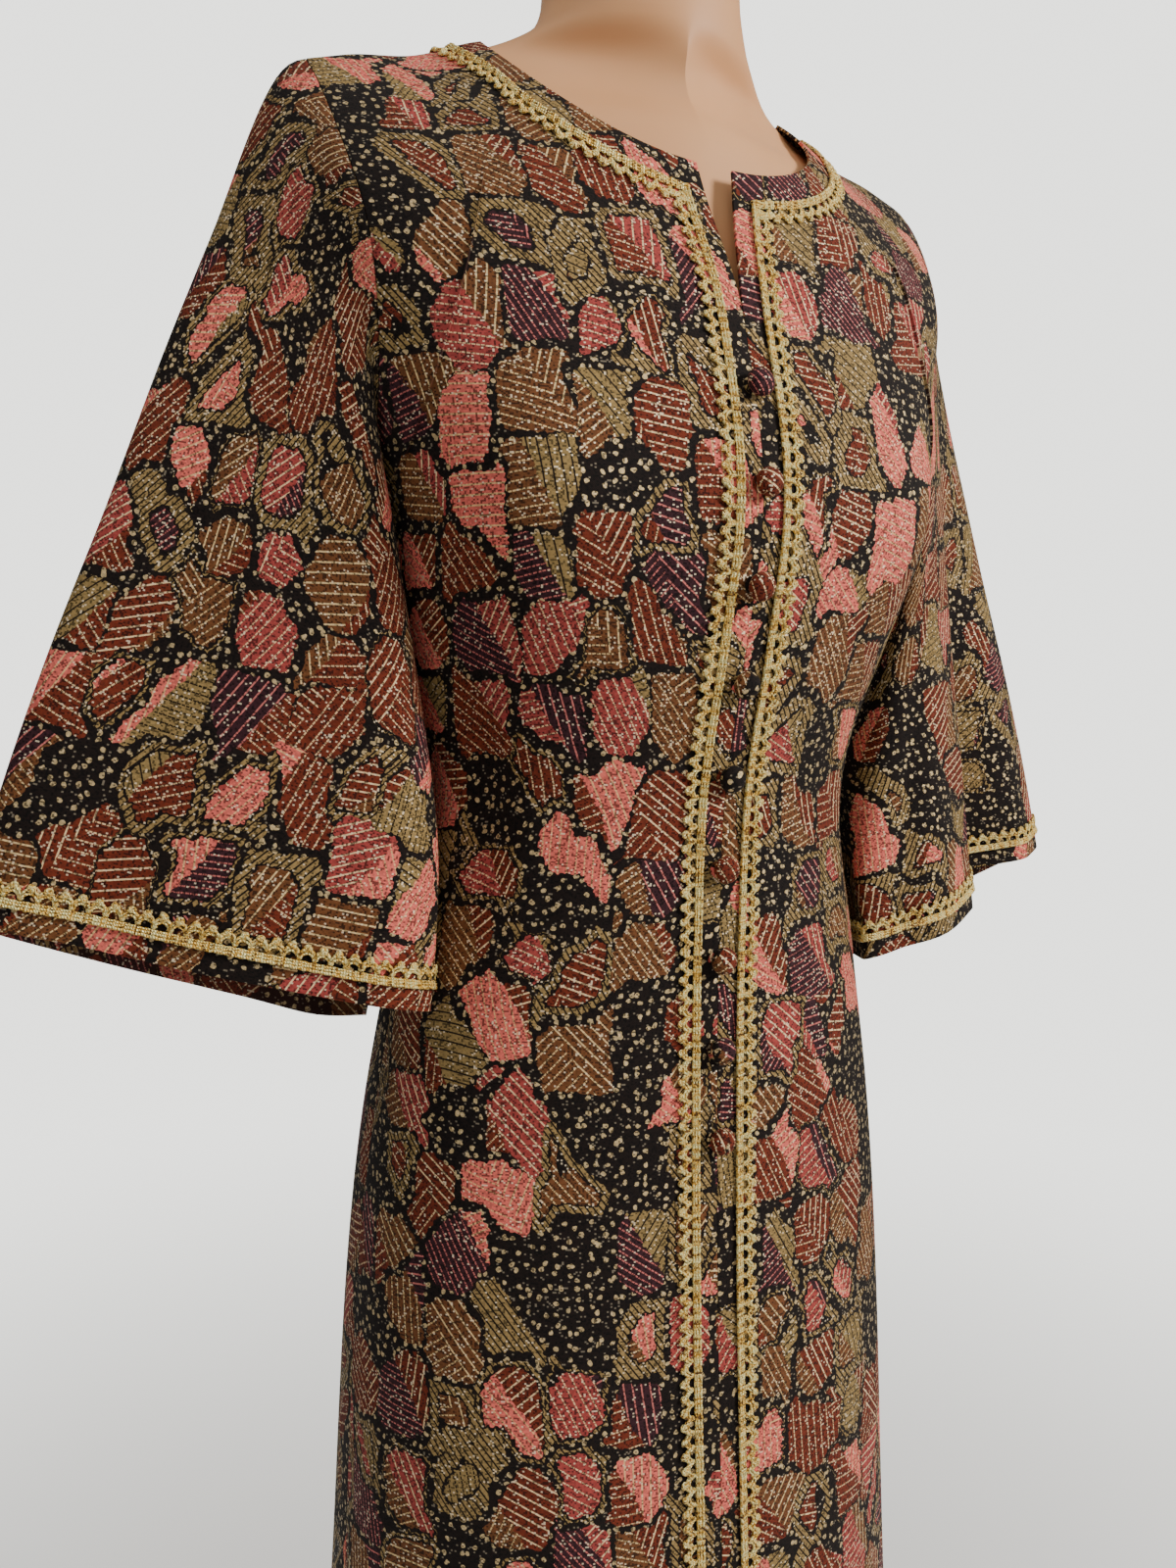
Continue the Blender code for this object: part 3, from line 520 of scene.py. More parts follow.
# Painted glint: a few random stitches, weaker on the ground, are painted near-white as highlights; the
# gold mask below also makes them metallic.
painted_glint_stitch = product(above(stitch, painted_glint_share), scaled(not_ground, *painted_glint_off_ground))
glint_painted_colour = blended(jacquard, product(painted_glint_stitch, painted_glint_strength), grained, painted_glint_colour)
jacquard.links.new(glint_painted_colour, leave.inputs["Color"])
gold_trim = product(product(in_trim, not_ground), outside(ticks))
gold_hatch = product(product(hatch, not_ground), outside(in_trim))
gold = maths(jacquard, "ADD", product(gold_trim, trim_shine), product(in_ground, dot))
gold = maths(jacquard, "ADD", gold, product(gold_hatch, hatch_shine))
gold = maths(jacquard, "MAXIMUM", gold, painted_glint_stitch)
jacquard.links.new(maths(jacquard, "MINIMUM", gold, 1.0), leave.inputs["Gold"])
height = scaled(ribs, rib_rise, product(stitch, stitch_rise))
jacquard.links.new(scaled(gold, gold_rise, height), leave.inputs["Height"])


def knit_material(name, wrong_side):
    """The knit's right side, or its wrong side, where the threads float and blur."""
    made, tree, shader = new_material(
        name, (0.17, 0.08, 0.06), Roughness=0.72, Specular_IOR_Level=0.15, Sheen_Weight=0.02
    )
    place = node(tree, "ShaderNodeUVMap", uv_map="cloth").outputs["UV"]
    knit = node(tree, "ShaderNodeGroup", node_tree=jacquard)
    tree.links.new(place, knit.inputs["Place"])
    colour = knit.outputs["Color"]
    if wrong_side:
        colour = blended(tree, wrong_side_share, colour, wrong_side_colour)
    tree.links.new(colour, shader.inputs["Base Color"])
    side_shine = wrong_side_shine if wrong_side else right_side_shine
    shine = maths(tree, "MULTIPLY", knit.outputs["Gold"], side_shine)
    tree.links.new(shine, shader.inputs["Metallic"])
    rough = maths(tree, "MULTIPLY_ADD", knit.outputs["Gold"], *knit_roughness)
    tree.links.new(rough, shader.inputs["Roughness"])
    emboss(tree, shader, knit.outputs["Height"], *knit_relief)
    return made


cloth_right = knit_material("knit_right_side", False)
cloth_wrong = knit_material("knit_wrong_side", True)

# Fronts: two pieces of knit, each in one length from shoulder to hem, shaped at the bust,
# waist and hip. They meet edge to edge, and part above the first button to form a slit.
garment_length = 1.37
neck_half_width = 0.101
front_neck_drop = 0.079
back_neck_drop = 0.020
shoulder_tip_x = 0.198
shoulder_slope = 0.34
shoulder_round = 0.115
shoulder_sag = 0.004
shoulder_sag_x = 0.140
shoulder_sag_half = 0.038
neck_round = 0.030
underarm_drop = 0.270
hip_drop = 0.61
body_roundness = 2.3
slit_half_gap = 0.0126
slit_full_drop = 0.055
slit_end_drop = 0.172
armhole_power = 0.85
cloth_thickness = 0.0016
raw_edge_round = 0.00055
seam_gap = 0.0003
centre_braid_from_edge = 0.0118
neck_braid_from_edge = 0.0180
braid_width = 0.0140
body_sections = (  # drop, half width, front depth, back depth
    (-0.010, 0.250, 0.082, 0.100),
    (0.080, 0.232, 0.086, 0.100),
    (0.160, 0.204, 0.114, 0.106),
    (0.270, 0.172, 0.137, 0.108),
    (0.340, 0.153, 0.124, 0.098),
    (0.410, 0.136, 0.108, 0.088),
    (0.500, 0.147, 0.104, 0.098),
    (0.610, 0.165, 0.106, 0.118),
    (0.950, 0.186, 0.126, 0.136),
    (1.380, 0.212, 0.148, 0.154),
)
body_folds = (  # face, side, turn, half width, drop where it starts, is full and ends, height
    (-1, 0, 40, 26, 0.14, 0.265, 0.38, 0.011),
    (-1, 0, 62, 16, 0.30, 0.400, 0.52, -0.007),
    (-1, 0, 26, 13, 0.62, 1.370, 2.00, 0.010),
    (-1, -1, 52, 12, 0.74, 1.370, 2.00, -0.009),
    (-1, 1, 48, 14, 0.70, 1.370, 2.00, -0.008),
    (-1, 0, 74, 12, 0.66, 1.370, 2.00, 0.008),
    (1, 0, 18, 14, 0.64, 1.370, 2.00, 0.010),
    (1, 0, 45, 13, 0.70, 1.370, 2.00, -0.009),
    (1, 0, 70, 13, 0.66, 1.370, 2.00, 0.008),
)
fineness = 4
centre_columns = 11
armhole_columns = 7
yoke_rows = 9
waist_rows = 8
skirt_rows = 13
yoke_bow = 0.8
yoke_samples = 160
curve_samples = 400
drop_rounds = 12
ruler_top, ruler_bottom = -0.02, 1.38
ruler_rows, ruler_columns = 175, 60


def eased(x):
    """From 0 to 1 with a soft start and end."""
    x = np.clip(x, 0.0, 1.0)
    return x * x * (3 - 2 * x)


def bump(distance):
    """1 at 0, falling smoothly to 0 at 1."""
    return eased(1 - np.abs(distance))


def turn_of(x, drop):
    """The turn at which the body's section reaches a distance from the centre line."""
    half_width = read(body_sections, drop)[..., 0]
    return np.arcsin(np.clip(x / half_width, 0, 1) ** (body_roundness / 2))


def slit(drop):
    """How far the open centre front moves its edge aside."""
    return slit_half_gap * eased((slit_end_drop - drop) / (slit_end_drop - slit_full_drop))


def over_shoulder(x):
    """The drop of the shoulder seam at a distance from the centre line."""
    inside = np.clip(1 - (x / neck_half_width) ** 2, 0, 1)
    slope = shoulder_slope * (np.hypot(x, neck_round * inside) - neck_half_width)
    return slope + shoulder_sag * bump((x - shoulder_sag_x) / shoulder_sag_half)


def body_point(face, side, turn, drop):
    """Points on the outside of the body, for faces -1 front and 1 back, and sides -1 and 1."""
    turn, drop = np.broadcast_arrays(np.asarray(turn, float), np.asarray(drop, float))
    half_width, front, back = np.moveaxis(read(body_sections, drop), -1, 0)
    depth = front if face < 0 else back
    x = half_width * np.sin(turn) ** (2 / body_roundness)
    below = drop - over_shoulder(x)
    over = 1 - (1 - np.clip(below / shoulder_round, 0, 1)) ** 2
    y = depth * np.clip(np.cos(turn), 0, 1) ** (2 / body_roundness) * over
    lift = np.zeros_like(x)
    for fold_face, fold_side, at, half, start, full, end, height in body_folds:
        if fold_face == face and fold_side in (0, side):
            along = eased((drop - start) / (full - start)) * eased((end - drop) / (end - full))
            lift = lift + height * along * bump((np.degrees(turn) - at) / half)
    x = x + lift * np.sin(turn)
    y = y + lift * np.cos(turn)
    if face < 0:
        x = x + (slit(drop) + seam_gap / 2) * np.clip(1 - x / neck_half_width, 0, 1)
    return np.stack([side * x, face * (y + seam_gap / 2), neck_point_height - drop], axis=-1)


def below_seam(turn, drop):
    """How far a place is below the shoulder seam."""
    x = read(body_sections, drop)[..., 0] * np.sin(turn) ** (2 / body_roundness)
    return drop - over_shoulder(x)


def drop_from_seam(turn, below):
    """The drop at a turn and a distance below the shoulder seam."""
    drop = below
    for _ in range(drop_rounds):
        x = read(body_sections, drop)[..., 0] * np.sin(turn) ** (2 / body_roundness)
        drop = over_shoulder(x) + below
    return drop


def evenly(curve, count, start=0.0, end=1.0):
    """Places along a curve, a function of 0 to 1, that are the same distance apart."""
    fine = np.linspace(start, end, curve_samples)
    stretches = np.linalg.norm(np.diff(curve(fine), axis=0), axis=1)
    run = np.concatenate([[0], np.cumsum(stretches)])
    return np.interp(np.linspace(0, run[-1], count), run, fine)


def neck_place(face, w):
    """Turn and drop along the neckline, from the centre at 0 to the shoulder seam at 1."""
    angle = w * math.pi / 2
    neck_drop = front_neck_drop if face < 0 else back_neck_drop
    drop = neck_drop * np.cos(angle)
    return turn_of(neck_half_width * np.sin(angle), drop), drop


def armhole_place(w):
    """Turn and drop along the armhole, from the underarm at 0 to the shoulder tip at 1."""
    angle = w * math.pi / 2
    tip_drop = over_shoulder(shoulder_tip_x)
    tip_turn = turn_of(shoulder_tip_x, tip_drop)
    turn = math.pi / 2 - (math.pi / 2 - tip_turn) * np.sin(angle)
    drop = underarm_drop - (underarm_drop - tip_drop) * (1 - np.cos(angle)) ** armhole_power
    return turn, drop


def finely(stops):
    """Stops with each stretch between two of them cut into equal parts."""
    at = np.linspace(0, len(stops) - 1, (len(stops) - 1) * fineness + 1)
    return np.interp(at, np.arange(len(stops)), stops)


column_edges = [0.0, centre_braid_from_edge, centre_braid_from_edge + braid_width]


def column_turn(column, drop):
    """The turn of a column of the body at a drop. The first columns edge the braid."""
    drop = np.asarray(drop, float)
    if column <= 2:
        edge = np.interp(column, [0, 1, 2], column_edges)
        return turn_of(np.full_like(drop, edge), drop)
    last = turn_of(np.full_like(drop, column_edges[-1]), drop)
    return last + (math.pi / 2 - last) * (column - 2) / (centre_columns - 2)


def yoke_places(face, side):
    """Turns and drops from the neckline out to the underarm line and the armhole."""
    columns = centre_columns + armhole_columns
    neck_start = 2 * math.asin(column_edges[-1] / neck_half_width) / math.pi
    neck_count = (columns - 2) * fineness + 1
    neck_at = evenly(
        lambda w: body_point(face, side, *neck_place(face, w)), neck_count, neck_start
    )
    arm_count = armhole_columns * fineness + 1
    arm_at = evenly(lambda w: body_point(face, side, *armhole_place(w)), arm_count)
    share = np.linspace(0, 1, yoke_samples)
    turns, drops = [], []
    for number in range(columns * fineness + 1):
        column = number / fineness
        if column < 2:
            edge = np.interp(column, [0, 1, 2], column_edges)
            _, top = neck_place(face, 2 * math.asin(edge / neck_half_width) / math.pi)
            drop = top + (underarm_drop - top) * share
            turn = column_turn(column, drop)
        else:
            turn_top, drop_top = neck_place(face, neck_at[number - 2 * fineness])
            if column <= centre_columns:
                drop_end = np.float64(underarm_drop)
                turn_end = column_turn(column, drop_end)
            else:
                arm_number = number - centre_columns * fineness
                turn_end, drop_end = armhole_place(arm_at[arm_number])
            below_top = below_seam(turn_top, drop_top)
            below_end = below_seam(turn_end, drop_end)
            bow = yoke_bow * bump((column - centre_columns) / (armhole_columns + 1))
            late = share * share * (1 - share) * bow
            turn = turn_top + (turn_end - turn_top) * (share - late)
            drop = drop_from_seam(turn, below_top + (below_end - below_top) * (share + late))
        line = body_point(face, side, turn, drop)
        run = np.concatenate([[0], np.cumsum(np.linalg.norm(np.diff(line, axis=0), axis=1))])
        braid = [0.0, neck_braid_from_edge, neck_braid_from_edge + braid_width]
        stops = braid + list(np.linspace(braid[-1], run[-1], yoke_rows - 1)[1:])
        at = np.interp(finely(stops), run, share)
        turns.append(np.interp(at, share, turn))
        drops.append(np.interp(at, share, drop))
    return np.array(turns).T, np.array(drops).T


def skirt_places():
    """Turns and drops from the underarm line down to the hem."""
    waist = np.linspace(underarm_drop, hip_drop, waist_rows + 1)
    skirt = np.linspace(hip_drop, garment_length, skirt_rows + 1)
    drops = finely(np.concatenate([waist, skirt[1:]]))
    columns = range(centre_columns * fineness + 1)
    turns = np.array([column_turn(column / fineness, drops) for column in columns]).T
    return turns, np.broadcast_to(drops[:, None], turns.shape)


def cloth_ruler(face, side):
    """A function that gives how far across and down the cloth a turn and drop are."""
    turns = np.linspace(0, math.pi / 2, ruler_columns + 1)
    drops = np.linspace(ruler_top, ruler_bottom, ruler_rows + 1)
    net = body_point(face, side, turns[None, :], drops[:, None])
    across = np.zeros(net.shape[:2])
    down = np.zeros(net.shape[:2])
    across[:, 1:] = np.cumsum(np.linalg.norm(np.diff(net, axis=1), axis=2), axis=1)
    down[1:] = np.cumsum(np.linalg.norm(np.diff(net, axis=0), axis=2), axis=0)
    level = int(np.searchsorted(drops, underarm_drop))
    down -= down[level]

    def measured(turn, drop):
        column = turn / (math.pi / 2) * ruler_columns
        column = np.clip(column, 0, ruler_columns - 0.001)
        row = (drop - ruler_top) / (ruler_bottom - ruler_top) * ruler_rows
        row = np.clip(row, 0, ruler_rows - 0.001)
        i, j = row.astype(int), column.astype(int)
        a, b = row - i, column - j
        found = []
        for net_part in (across, down):
            upper = net_part[i, j] * (1 - b) + net_part[i, j + 1] * b
            lower = net_part[i + 1, j] * (1 - b) + net_part[i + 1, j + 1] * b
            found.append(upper * (1 - a) + lower * a)
        return np.stack([side * found[0], -found[1]], axis=-1)

    return measured


class Cloth:
    """One side of a piece of cloth: points, faces and each face corner's place on the knit."""

    def __init__(self):
        self.points, self.faces, self.corners = [], [], []
        self.index, self.flat = {}, {}

    def add(self, point):
        key = tuple(np.round(point, 6))
        if key not in self.index:
            self.index[key] = len(self.points)
            self.points.append(np.array(point, float))
        return self.index[key]

    def grid(self, rows, places, flip):
        """Adds a grid of points with their places on the knit. Returns their numbers."""
        numbers = np.array([[self.add(p) for p in row] for row in rows])
        for i in range(len(numbers) - 1):
            for j in range(numbers.shape[1] - 1):
                ring = [(i, j), (i, j + 1), (i + 1, j + 1), (i + 1, j)]
                if flip:
                    ring = [ring[0], ring[3], ring[2], ring[1]]
                self.faces.append([numbers[at] for at in ring])
                self.corners.append([places[at] for at in ring])
        return numbers

    def level(self, numbers, axis):
        """Keeps the wall at these points square to an axis, as where two pieces meet."""
        for number in np.ravel(numbers):
            self.flat.setdefault(int(number), set()).add(axis)

    def normals(self):
        points, faces = np.array(self.points), np.array(self.faces)
        a, b, c, d = (points[faces[:, k]] for k in range(4))
        across = np.cross(c - a, d - b)
        normals = np.zeros_like(points)
        for k in range(4):
            np.add.at(normals, faces[:, k], across)
        for number, axes in self.flat.items():
            for axis in axes:
                normals[number, axis] = 0.0
        return normals / np.linalg.norm(normals, axis=1)[:, None]


def sewn_piece(name, cloth, normals):
    """A piece of cloth with its thickness, right side out, and softly rounded raw edges."""
    outer = np.array(cloth.points)
    inner = outer - normals * cloth_thickness
    count = len(outer)
    faces, corners = list(cloth.faces), list(cloth.corners)
    inside = [[n + count for n in reversed(face)] for face in cloth.faces]
    inside_corners = [list(reversed(face)) for face in cloth.corners]
    sides = {}
    for face, places in zip(cloth.faces, cloth.corners):
        for k in range(4):
            after = (k + 1) % 4
            sides[(face[k], face[after])] = (places[k], places[after])
    rim, rim_corners = [], []
    for (a, b), (place_a, place_b) in sides.items():
        if (b, a) not in sides:
            rim.append([b, a, a + count, b + count])
            rim_corners.append([place_b, place_a, place_a, place_b])
    which = [0] * len(faces) + [1] * len(inside) + [0] * len(rim)
    piece = new_piece(
        name, np.concatenate([outer, inner]), faces + inside + rim,
        corners + inside_corners + rim_corners, [cloth_right, cloth_wrong], which,
    )
    rounded = piece.modifiers.new("rounded_edges", "BEVEL")
    rounded.width = raw_edge_round
    rounded.segments = 2
    rounded.limit_method = "ANGLE"
    rounded.angle_limit = math.radians(60)
    return piece


def skin_of(cloth):
    """The cloth's outer side, to find the nearest place on it."""
    points = [Vector(point) for point in cloth.points]
    return BVHTree.FromPolygons(points, [list(map(int, face)) for face in cloth.faces])


front_cut = {-1: (0.0, 0.0), 1: (0.37, 0.13)}  # where on the knit each front is cut
dart_column = 18
dart_reach = 10
dart_line = (  # drop, distance from the centre, knit taken in
    (0.270, 0.0760, 0.000),
    (0.334, 0.0810, 0.007),
    (0.366, 0.0830, 0.012),
    (0.410, 0.0880, 0.018),
    (0.461, 0.0940, 0.012),
    (0.540, 0.1000, 0.000),
)
dart_top, dart_bottom = 0.270, 0.60
dart_top_ease, dart_bottom_ease = 0.03, 0.08
dart_depth = 0.0012
dart_full = 0.006


def with_dart(turns, drops):
    """The skirt's turns with one column laid along the dart, and the knit taken in there."""
    drop = drops[:, dart_column]
    aside, taken = np.moveaxis(read(dart_line, drop), -1, 0)
    begun = eased((drop - dart_top) / dart_top_ease)
    ends = np.minimum(begun, eased((dart_bottom - drop) / dart_bottom_ease))
    moved = (turn_of(aside, drop) - turns[:, dart_column]) * ends
    near = bump((np.arange(turns.shape[1]) - dart_column) / dart_reach)
    return turns + moved[:, None] * near[None, :], np.clip(taken, 0, None)


front_cloths = {}
for side, name in ((-1, "right"), (1, "left")):
    cloth = Cloth()
    measured = cloth_ruler(-1, side)
    grids = []
    turns, drops = yoke_places(-1, side)
    places = measured(turns, drops) + np.array(front_cut[side])
    grids.append(cloth.grid(body_point(-1, side, turns, drops), places, side > 0))
    turns, drops = skirt_places()
    turns, taken = with_dart(turns, drops)
    places = measured(turns, drops) + np.array(front_cut[side])
    rows = body_point(-1, side, turns, drops)
    rows[:, dart_column, 1] += dart_depth * np.clip(taken / dart_full, 0, 1)
    before, after = slice(0, dart_column + 1), slice(dart_column, None)
    inner = cloth.grid(rows[:, before], places[:, before], side > 0)
    places[..., 0] += side * taken[:, None]
    outer = cloth.grid(rows[:, after], places[:, after], side > 0)
    grids.append(np.concatenate([inner, outer[:, 1:]], axis=1))
    for numbers in grids:
        cloth.level(numbers[:, 0], 0)
        cloth.level(numbers[:, -1], 1)
    front = sewn_piece(f"cloth_front_{name}", cloth, cloth.normals())
    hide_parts(f"front_{name}")
    front_cloths[side] = (cloth, *grids)

# Back: one piece of the same knit, from the neckline to the hem, without a centre seam.
# It is sewn to the fronts at the shoulders and down the sides.
back_cut = (1.2, 0.5)
back_cloth = Cloth()
back_halves = {}
for side in (-1, 1):
    measured = cloth_ruler(1, side)
    grids = []
    for turns, drops in (yoke_places(1, side), skirt_places()):
        places = measured(turns, drops) + np.array(back_cut)
        grids.append(back_cloth.grid(body_point(1, side, turns, drops), places, side < 0))
    for numbers in grids:
        back_cloth.level(numbers[:, -1], 1)
    back_halves[side] = grids
back = sewn_piece("cloth_back", back_cloth, back_cloth.normals())
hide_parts("back")

# Sleeves: bell sleeves of forearm length, set into the armholes and hanging empty.
# Each is one piece with a seam under the arm, and falls in a few broad, soft folds.
cuff_braid_from_hem = 0.0120
sleeve_sections = (  # share, outermost x and drop, innermost x and drop, front, back, drops added
    (0.00, 0.199, 0.036, 0.172, 0.270, 0.064, 0.064, 0.000, 0.000),
    (0.08, 0.212, 0.056, 0.168, 0.276, 0.076, 0.066, 0.000, 0.000),
    (0.18, 0.231, 0.094, 0.163, 0.290, 0.082, 0.068, 0.000, 0.002),
    (0.35, 0.265, 0.177, 0.153, 0.330, 0.081, 0.070, 0.000, 0.008),
    (0.55, 0.299, 0.270, 0.142, 0.392, 0.080, 0.072, 0.000, 0.020),
    (0.75, 0.331, 0.355, 0.133, 0.452, 0.078, 0.072, 0.001, 0.031),
    (0.90, 0.354, 0.425, 0.129, 0.502, 0.076, 0.071, 0.003, 0.039),
    (1.00, 0.368, 0.475, 0.128, 0.532, 0.075, 0.070, 0.005, 0.044),
)
sleeve_folds = (  # side, angle, half width, share where it starts, height at the hem
    (-1, 60, 30, 0.25, -0.004),
    (-1, 118, 24, 0.20, 0.004),
    (-1, 250, 26, 0.30, -0.010),
    (1, 66, 28, 0.12, -0.036),
    (1, 100, 20, 0.20, 0.014),
    (1, 245, 28, 0.30, -0.012),
)
sleeve_roundness_outer = 2.2
sleeve_roundness_inner = 3.2
sleeve_taper = 0.80
sleeve_swing = {-1: 0.0, 1: 0.012}
sleeve_swing_share = 0.4
sleeve_clear = 0.008
sleeve_softness = 0.006
sleeve_cap_rise = 0.15
sleeve_cap_share = 0.26
sleeve_seam_gap = 1.5 * seam_gap
sleeve_rows = 12
sleeve_row_power = 1.25
sleeve_split = 2
sleeve_samples = 260
armhole_samples = 60
sleeve_cut = (2.0, 0.4)


def armhole_ring(front_part, back_part):
    """The armhole's points and the ways out of the cloth there, shoulder tip first."""
    sides = []
    for cloth, yoke, skirt in (front_part, back_part):
        points = np.array(cloth.points)
        edge = yoke[-1, centre_columns * fineness:]
        place = points[edge]
        out = place - points[yoke[-2, centre_columns * fineness:]]
        out[0] = points[skirt[0, -1]] - points[skirt[1, -1]]
        along = np.gradient(place, axis=0)
        along[0, [0, 2]] = 0.0
        along[-1, [0, 2]] = 0.0
        along /= np.linalg.norm(along, axis=1)[:, None]
        for way in (along, cloth.normals()[edge]):
            out = out - way * np.sum(out * way, axis=1)[:, None]
        sides.append((place, out / np.linalg.norm(out, axis=1)[:, None]))
    (front_place, front_out), (back_place, back_out) = sides
    place = np.concatenate([front_place[::-1], back_place[1:-1]])
    out = np.concatenate([front_out[::-1], back_out[1:-1]])
    place[[0, armhole_columns * fineness], 1] = 0.0
    out[[0, armhole_columns * fineness], 1] = 0.0
    return place, out


def split(ring, parts):
    """A closed ring with each side divided into equal parts."""
    after = np.roll(ring, -1, axis=0)
    stretches = [ring + (after - ring) * part / parts for part in range(parts)]
    return np.stack(stretches, axis=1).reshape(-1, ring.shape[1])


def sleeve_loft(side, share, angle):
    """Points of the hanging sleeve, for shares of its length and angles round it."""
    share, angle = np.broadcast_arrays(share, angle)
    out_x, out_drop, in_x, in_drop, front, back, front_drop, back_drop = np.moveaxis(
        read(sleeve_sections, share), -1, 0
    )
    roundness = np.where(np.cos(angle) > 0, sleeve_roundness_outer, sleeve_roundness_inner)
    across = np.sign(np.cos(angle)) * np.abs(np.cos(angle)) ** (2 / roundness)
    around = np.sign(np.sin(angle)) * np.abs(np.sin(angle)) ** (2 / roundness)
    x = (out_x + in_x) / 2 + (out_x - in_x) / 2 * across
    drop = (out_drop + in_drop) / 2 + (out_drop - in_drop) / 2 * across
    taper = 1 - sleeve_taper * (1 + across) / 2
    forward = np.clip(around, 0, 1) * taper
    rear = np.clip(-around, 0, 1) * taper
    y = -front * forward + back * rear
    drop = drop + front_drop * forward + back_drop * rear
    y = y + sleeve_swing[side] * eased(share / sleeve_swing_share) * (1 + across) / 2
    for fold_side, at, half, start, height in sleeve_folds:
        if fold_side == side:
            size = height * eased((share - start) / (1 - start))
            lift = size * bump((np.degrees(angle) - at) / half)
            x = x + lift * np.cos(angle)
            y = y - lift * np.sin(angle)
    section = read(body_sections, drop)
    depth = np.where(y < 0, section[..., 1], section[..., 2])
    inward = 1 - np.clip(np.abs(y) / depth, 0, 1) ** body_roundness
    reach = np.clip(inward, 0, 1) ** (1 / body_roundness)
    edge_turn, edge_drop = armhole_place(np.linspace(1, 0, armhole_samples))
    edge_x = read(body_sections, edge_drop)[..., 0] * np.sin(edge_turn) ** (2 / body_roundness)
    beside = np.minimum(section[..., 0] * reach, np.interp(drop, edge_drop, edge_x))
    beside = beside + sleeve_clear
    gap = x - beside
    x = beside + (gap + np.sqrt(gap * gap + sleeve_softness**2)) / 2
    return np.stack([side * x, y, neck_point_height - drop], axis=-1)


def sleeve_cloth(side, armhole):
    """One sleeve, from the armhole to the hem, and the ways its wall goes."""
    ring, out = (split(part, sleeve_split) for part in armhole)
    ring = ring + out * sleeve_seam_gap
    count = len(ring)
    angle = np.linspace(0, 2 * math.pi, count, endpoint=False)
    share = np.linspace(0, 1, sleeve_samples)[:, None]
    loft = sleeve_loft(side, share, angle[None, :])
    rise = share * sleeve_cap_rise * (1 + np.cos(angle)) / 2
    start = ring[None] + out[None] * rise[..., None]
    surface = start + (loft - start) * eased(share / sleeve_cap_share)[..., None]
    run = np.zeros((sleeve_samples, count))
    run[1:] = np.cumsum(np.linalg.norm(np.diff(surface, axis=0), axis=2), axis=0)
    rows = [(row / sleeve_rows) ** sleeve_row_power for row in range(sleeve_rows + 1)]
    grid = np.zeros(((sleeve_rows + 2) * fineness + 1, count, 3))
    lengths = np.zeros(grid.shape[:2])
    for column in range(count):
        length = run[-1, column]
        free = length - cuff_braid_from_hem - braid_width
        at = finely([free * part for part in rows] + [length - cuff_braid_from_hem, length])
        lengths[:, column] = length - at
        for axis in range(3):
            grid[:, column, axis] = np.interp(at, run[:, column], surface[:, column, axis])
    closed = np.concatenate([grid, grid[:, :1]], axis=1)
    closed = np.roll(closed[:, :-1], -(count // 2), axis=1)
    closed = np.concatenate([closed, closed[:, :1]], axis=1)
    heights = np.roll(lengths, -(count // 2), axis=1)
    heights = np.concatenate([heights, heights[:, :1]], axis=1)
    around = np.zeros(heights.shape)
    around[:, 1:] = np.cumsum(np.linalg.norm(np.diff(closed, axis=1), axis=2), axis=1)
    around -= around[:, count // 2][:, None]
    places = np.stack([side * around + sleeve_cut[0], heights + sleeve_cut[1] * side], axis=-1)
    cloth = Cloth()
    numbers = cloth.grid(closed, places, side < 0)
    normals = cloth.normals()
    seam = numbers[0, :-1]
    out = np.roll(out, -(count // 2), axis=0)
    toward = np.clip(np.sum(normals[seam] * out, axis=1), 0, None)
    square = normals[seam] - out * toward[:, None]
    normals[seam] = square / np.linalg.norm(square, axis=1)[:, None]
    return cloth, numbers, normals


sleeves = {}
for side, name in ((-1, "right"), (1, "left")):
    armhole = armhole_ring(front_cloths[side], (back_cloth, *back_halves[side]))
    cloth, numbers, normals = sleeve_cloth(side, armhole)
    sleeve = sewn_piece(f"cloth_sleeve_{name}", cloth, normals)
    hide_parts(f"sleeve_{name}")
    sleeves[side] = (cloth, numbers)

# Braid: antique gold gimp, 14 mm wide, sewn flat round the neckline, down each side of the
# centre and round each cuff. A corded edge faces the opening or hem, then comes a row of
# eyelets, then a scallop of thread round each eyelet.
braid_pitch = 0.0080
strands = (  # place across the braid, swing at an eyelet, roundness of it, half width, height
    (0.0010, 0.0, 1.0, 0.00105, 0.0012),
    (0.0027, 0.0, 1.0, 0.00095, 0.0010),
    (0.0041, 0.0, 1.0, 0.00065, 0.0008),
    (0.0060, 0.0030, 0.8, 0.00080, 0.0008),
    (0.0076, 0.0034, 0.6, 0.00085, 0.0010),
)
knots = (  # share of the pitch from an eyelet, place across the braid, radius, height
    (0.0, 0.0115, 0.0024, 0.0019),
    (0.5, 0.0063, 0.0017, 0.0013),
)
strand_step = 0.00080
strand_sides = 6
strand_lift = 0.0001
strand_cell = 0.001
twist_pitch = 0.0052
twist_depth = 0.20
ways_window = 15
knot_sides = 10
knot_tilts = (72, 38, 6, -30)
knot_dome = 0.62
thread_cell = 0.0011
# Painted light on the thread: small cells and larger lumps that set how brightly each spot is painted.
painted_thread_glint_cell = (0.0012, 0.0010, 1.0)
coil_scale = 620.0
coil_spread = (0.36, 0.64)
painted_coil_light_share, painted_thread_glint_share = 0.40, 0.60
ply_turns = (700.0, 350.0)
coil_rise = 2.0
thread_roughness = (-0.25, 0.55)  # factor of the thread's painted light and shade, and what is added
thread_relief = (0.8, 0.0005)
knot_size_range = (0.88, 1.08)
knot_reach_range = (0.88, 1.12)
knot_rise_range = (0.85, 1.1)
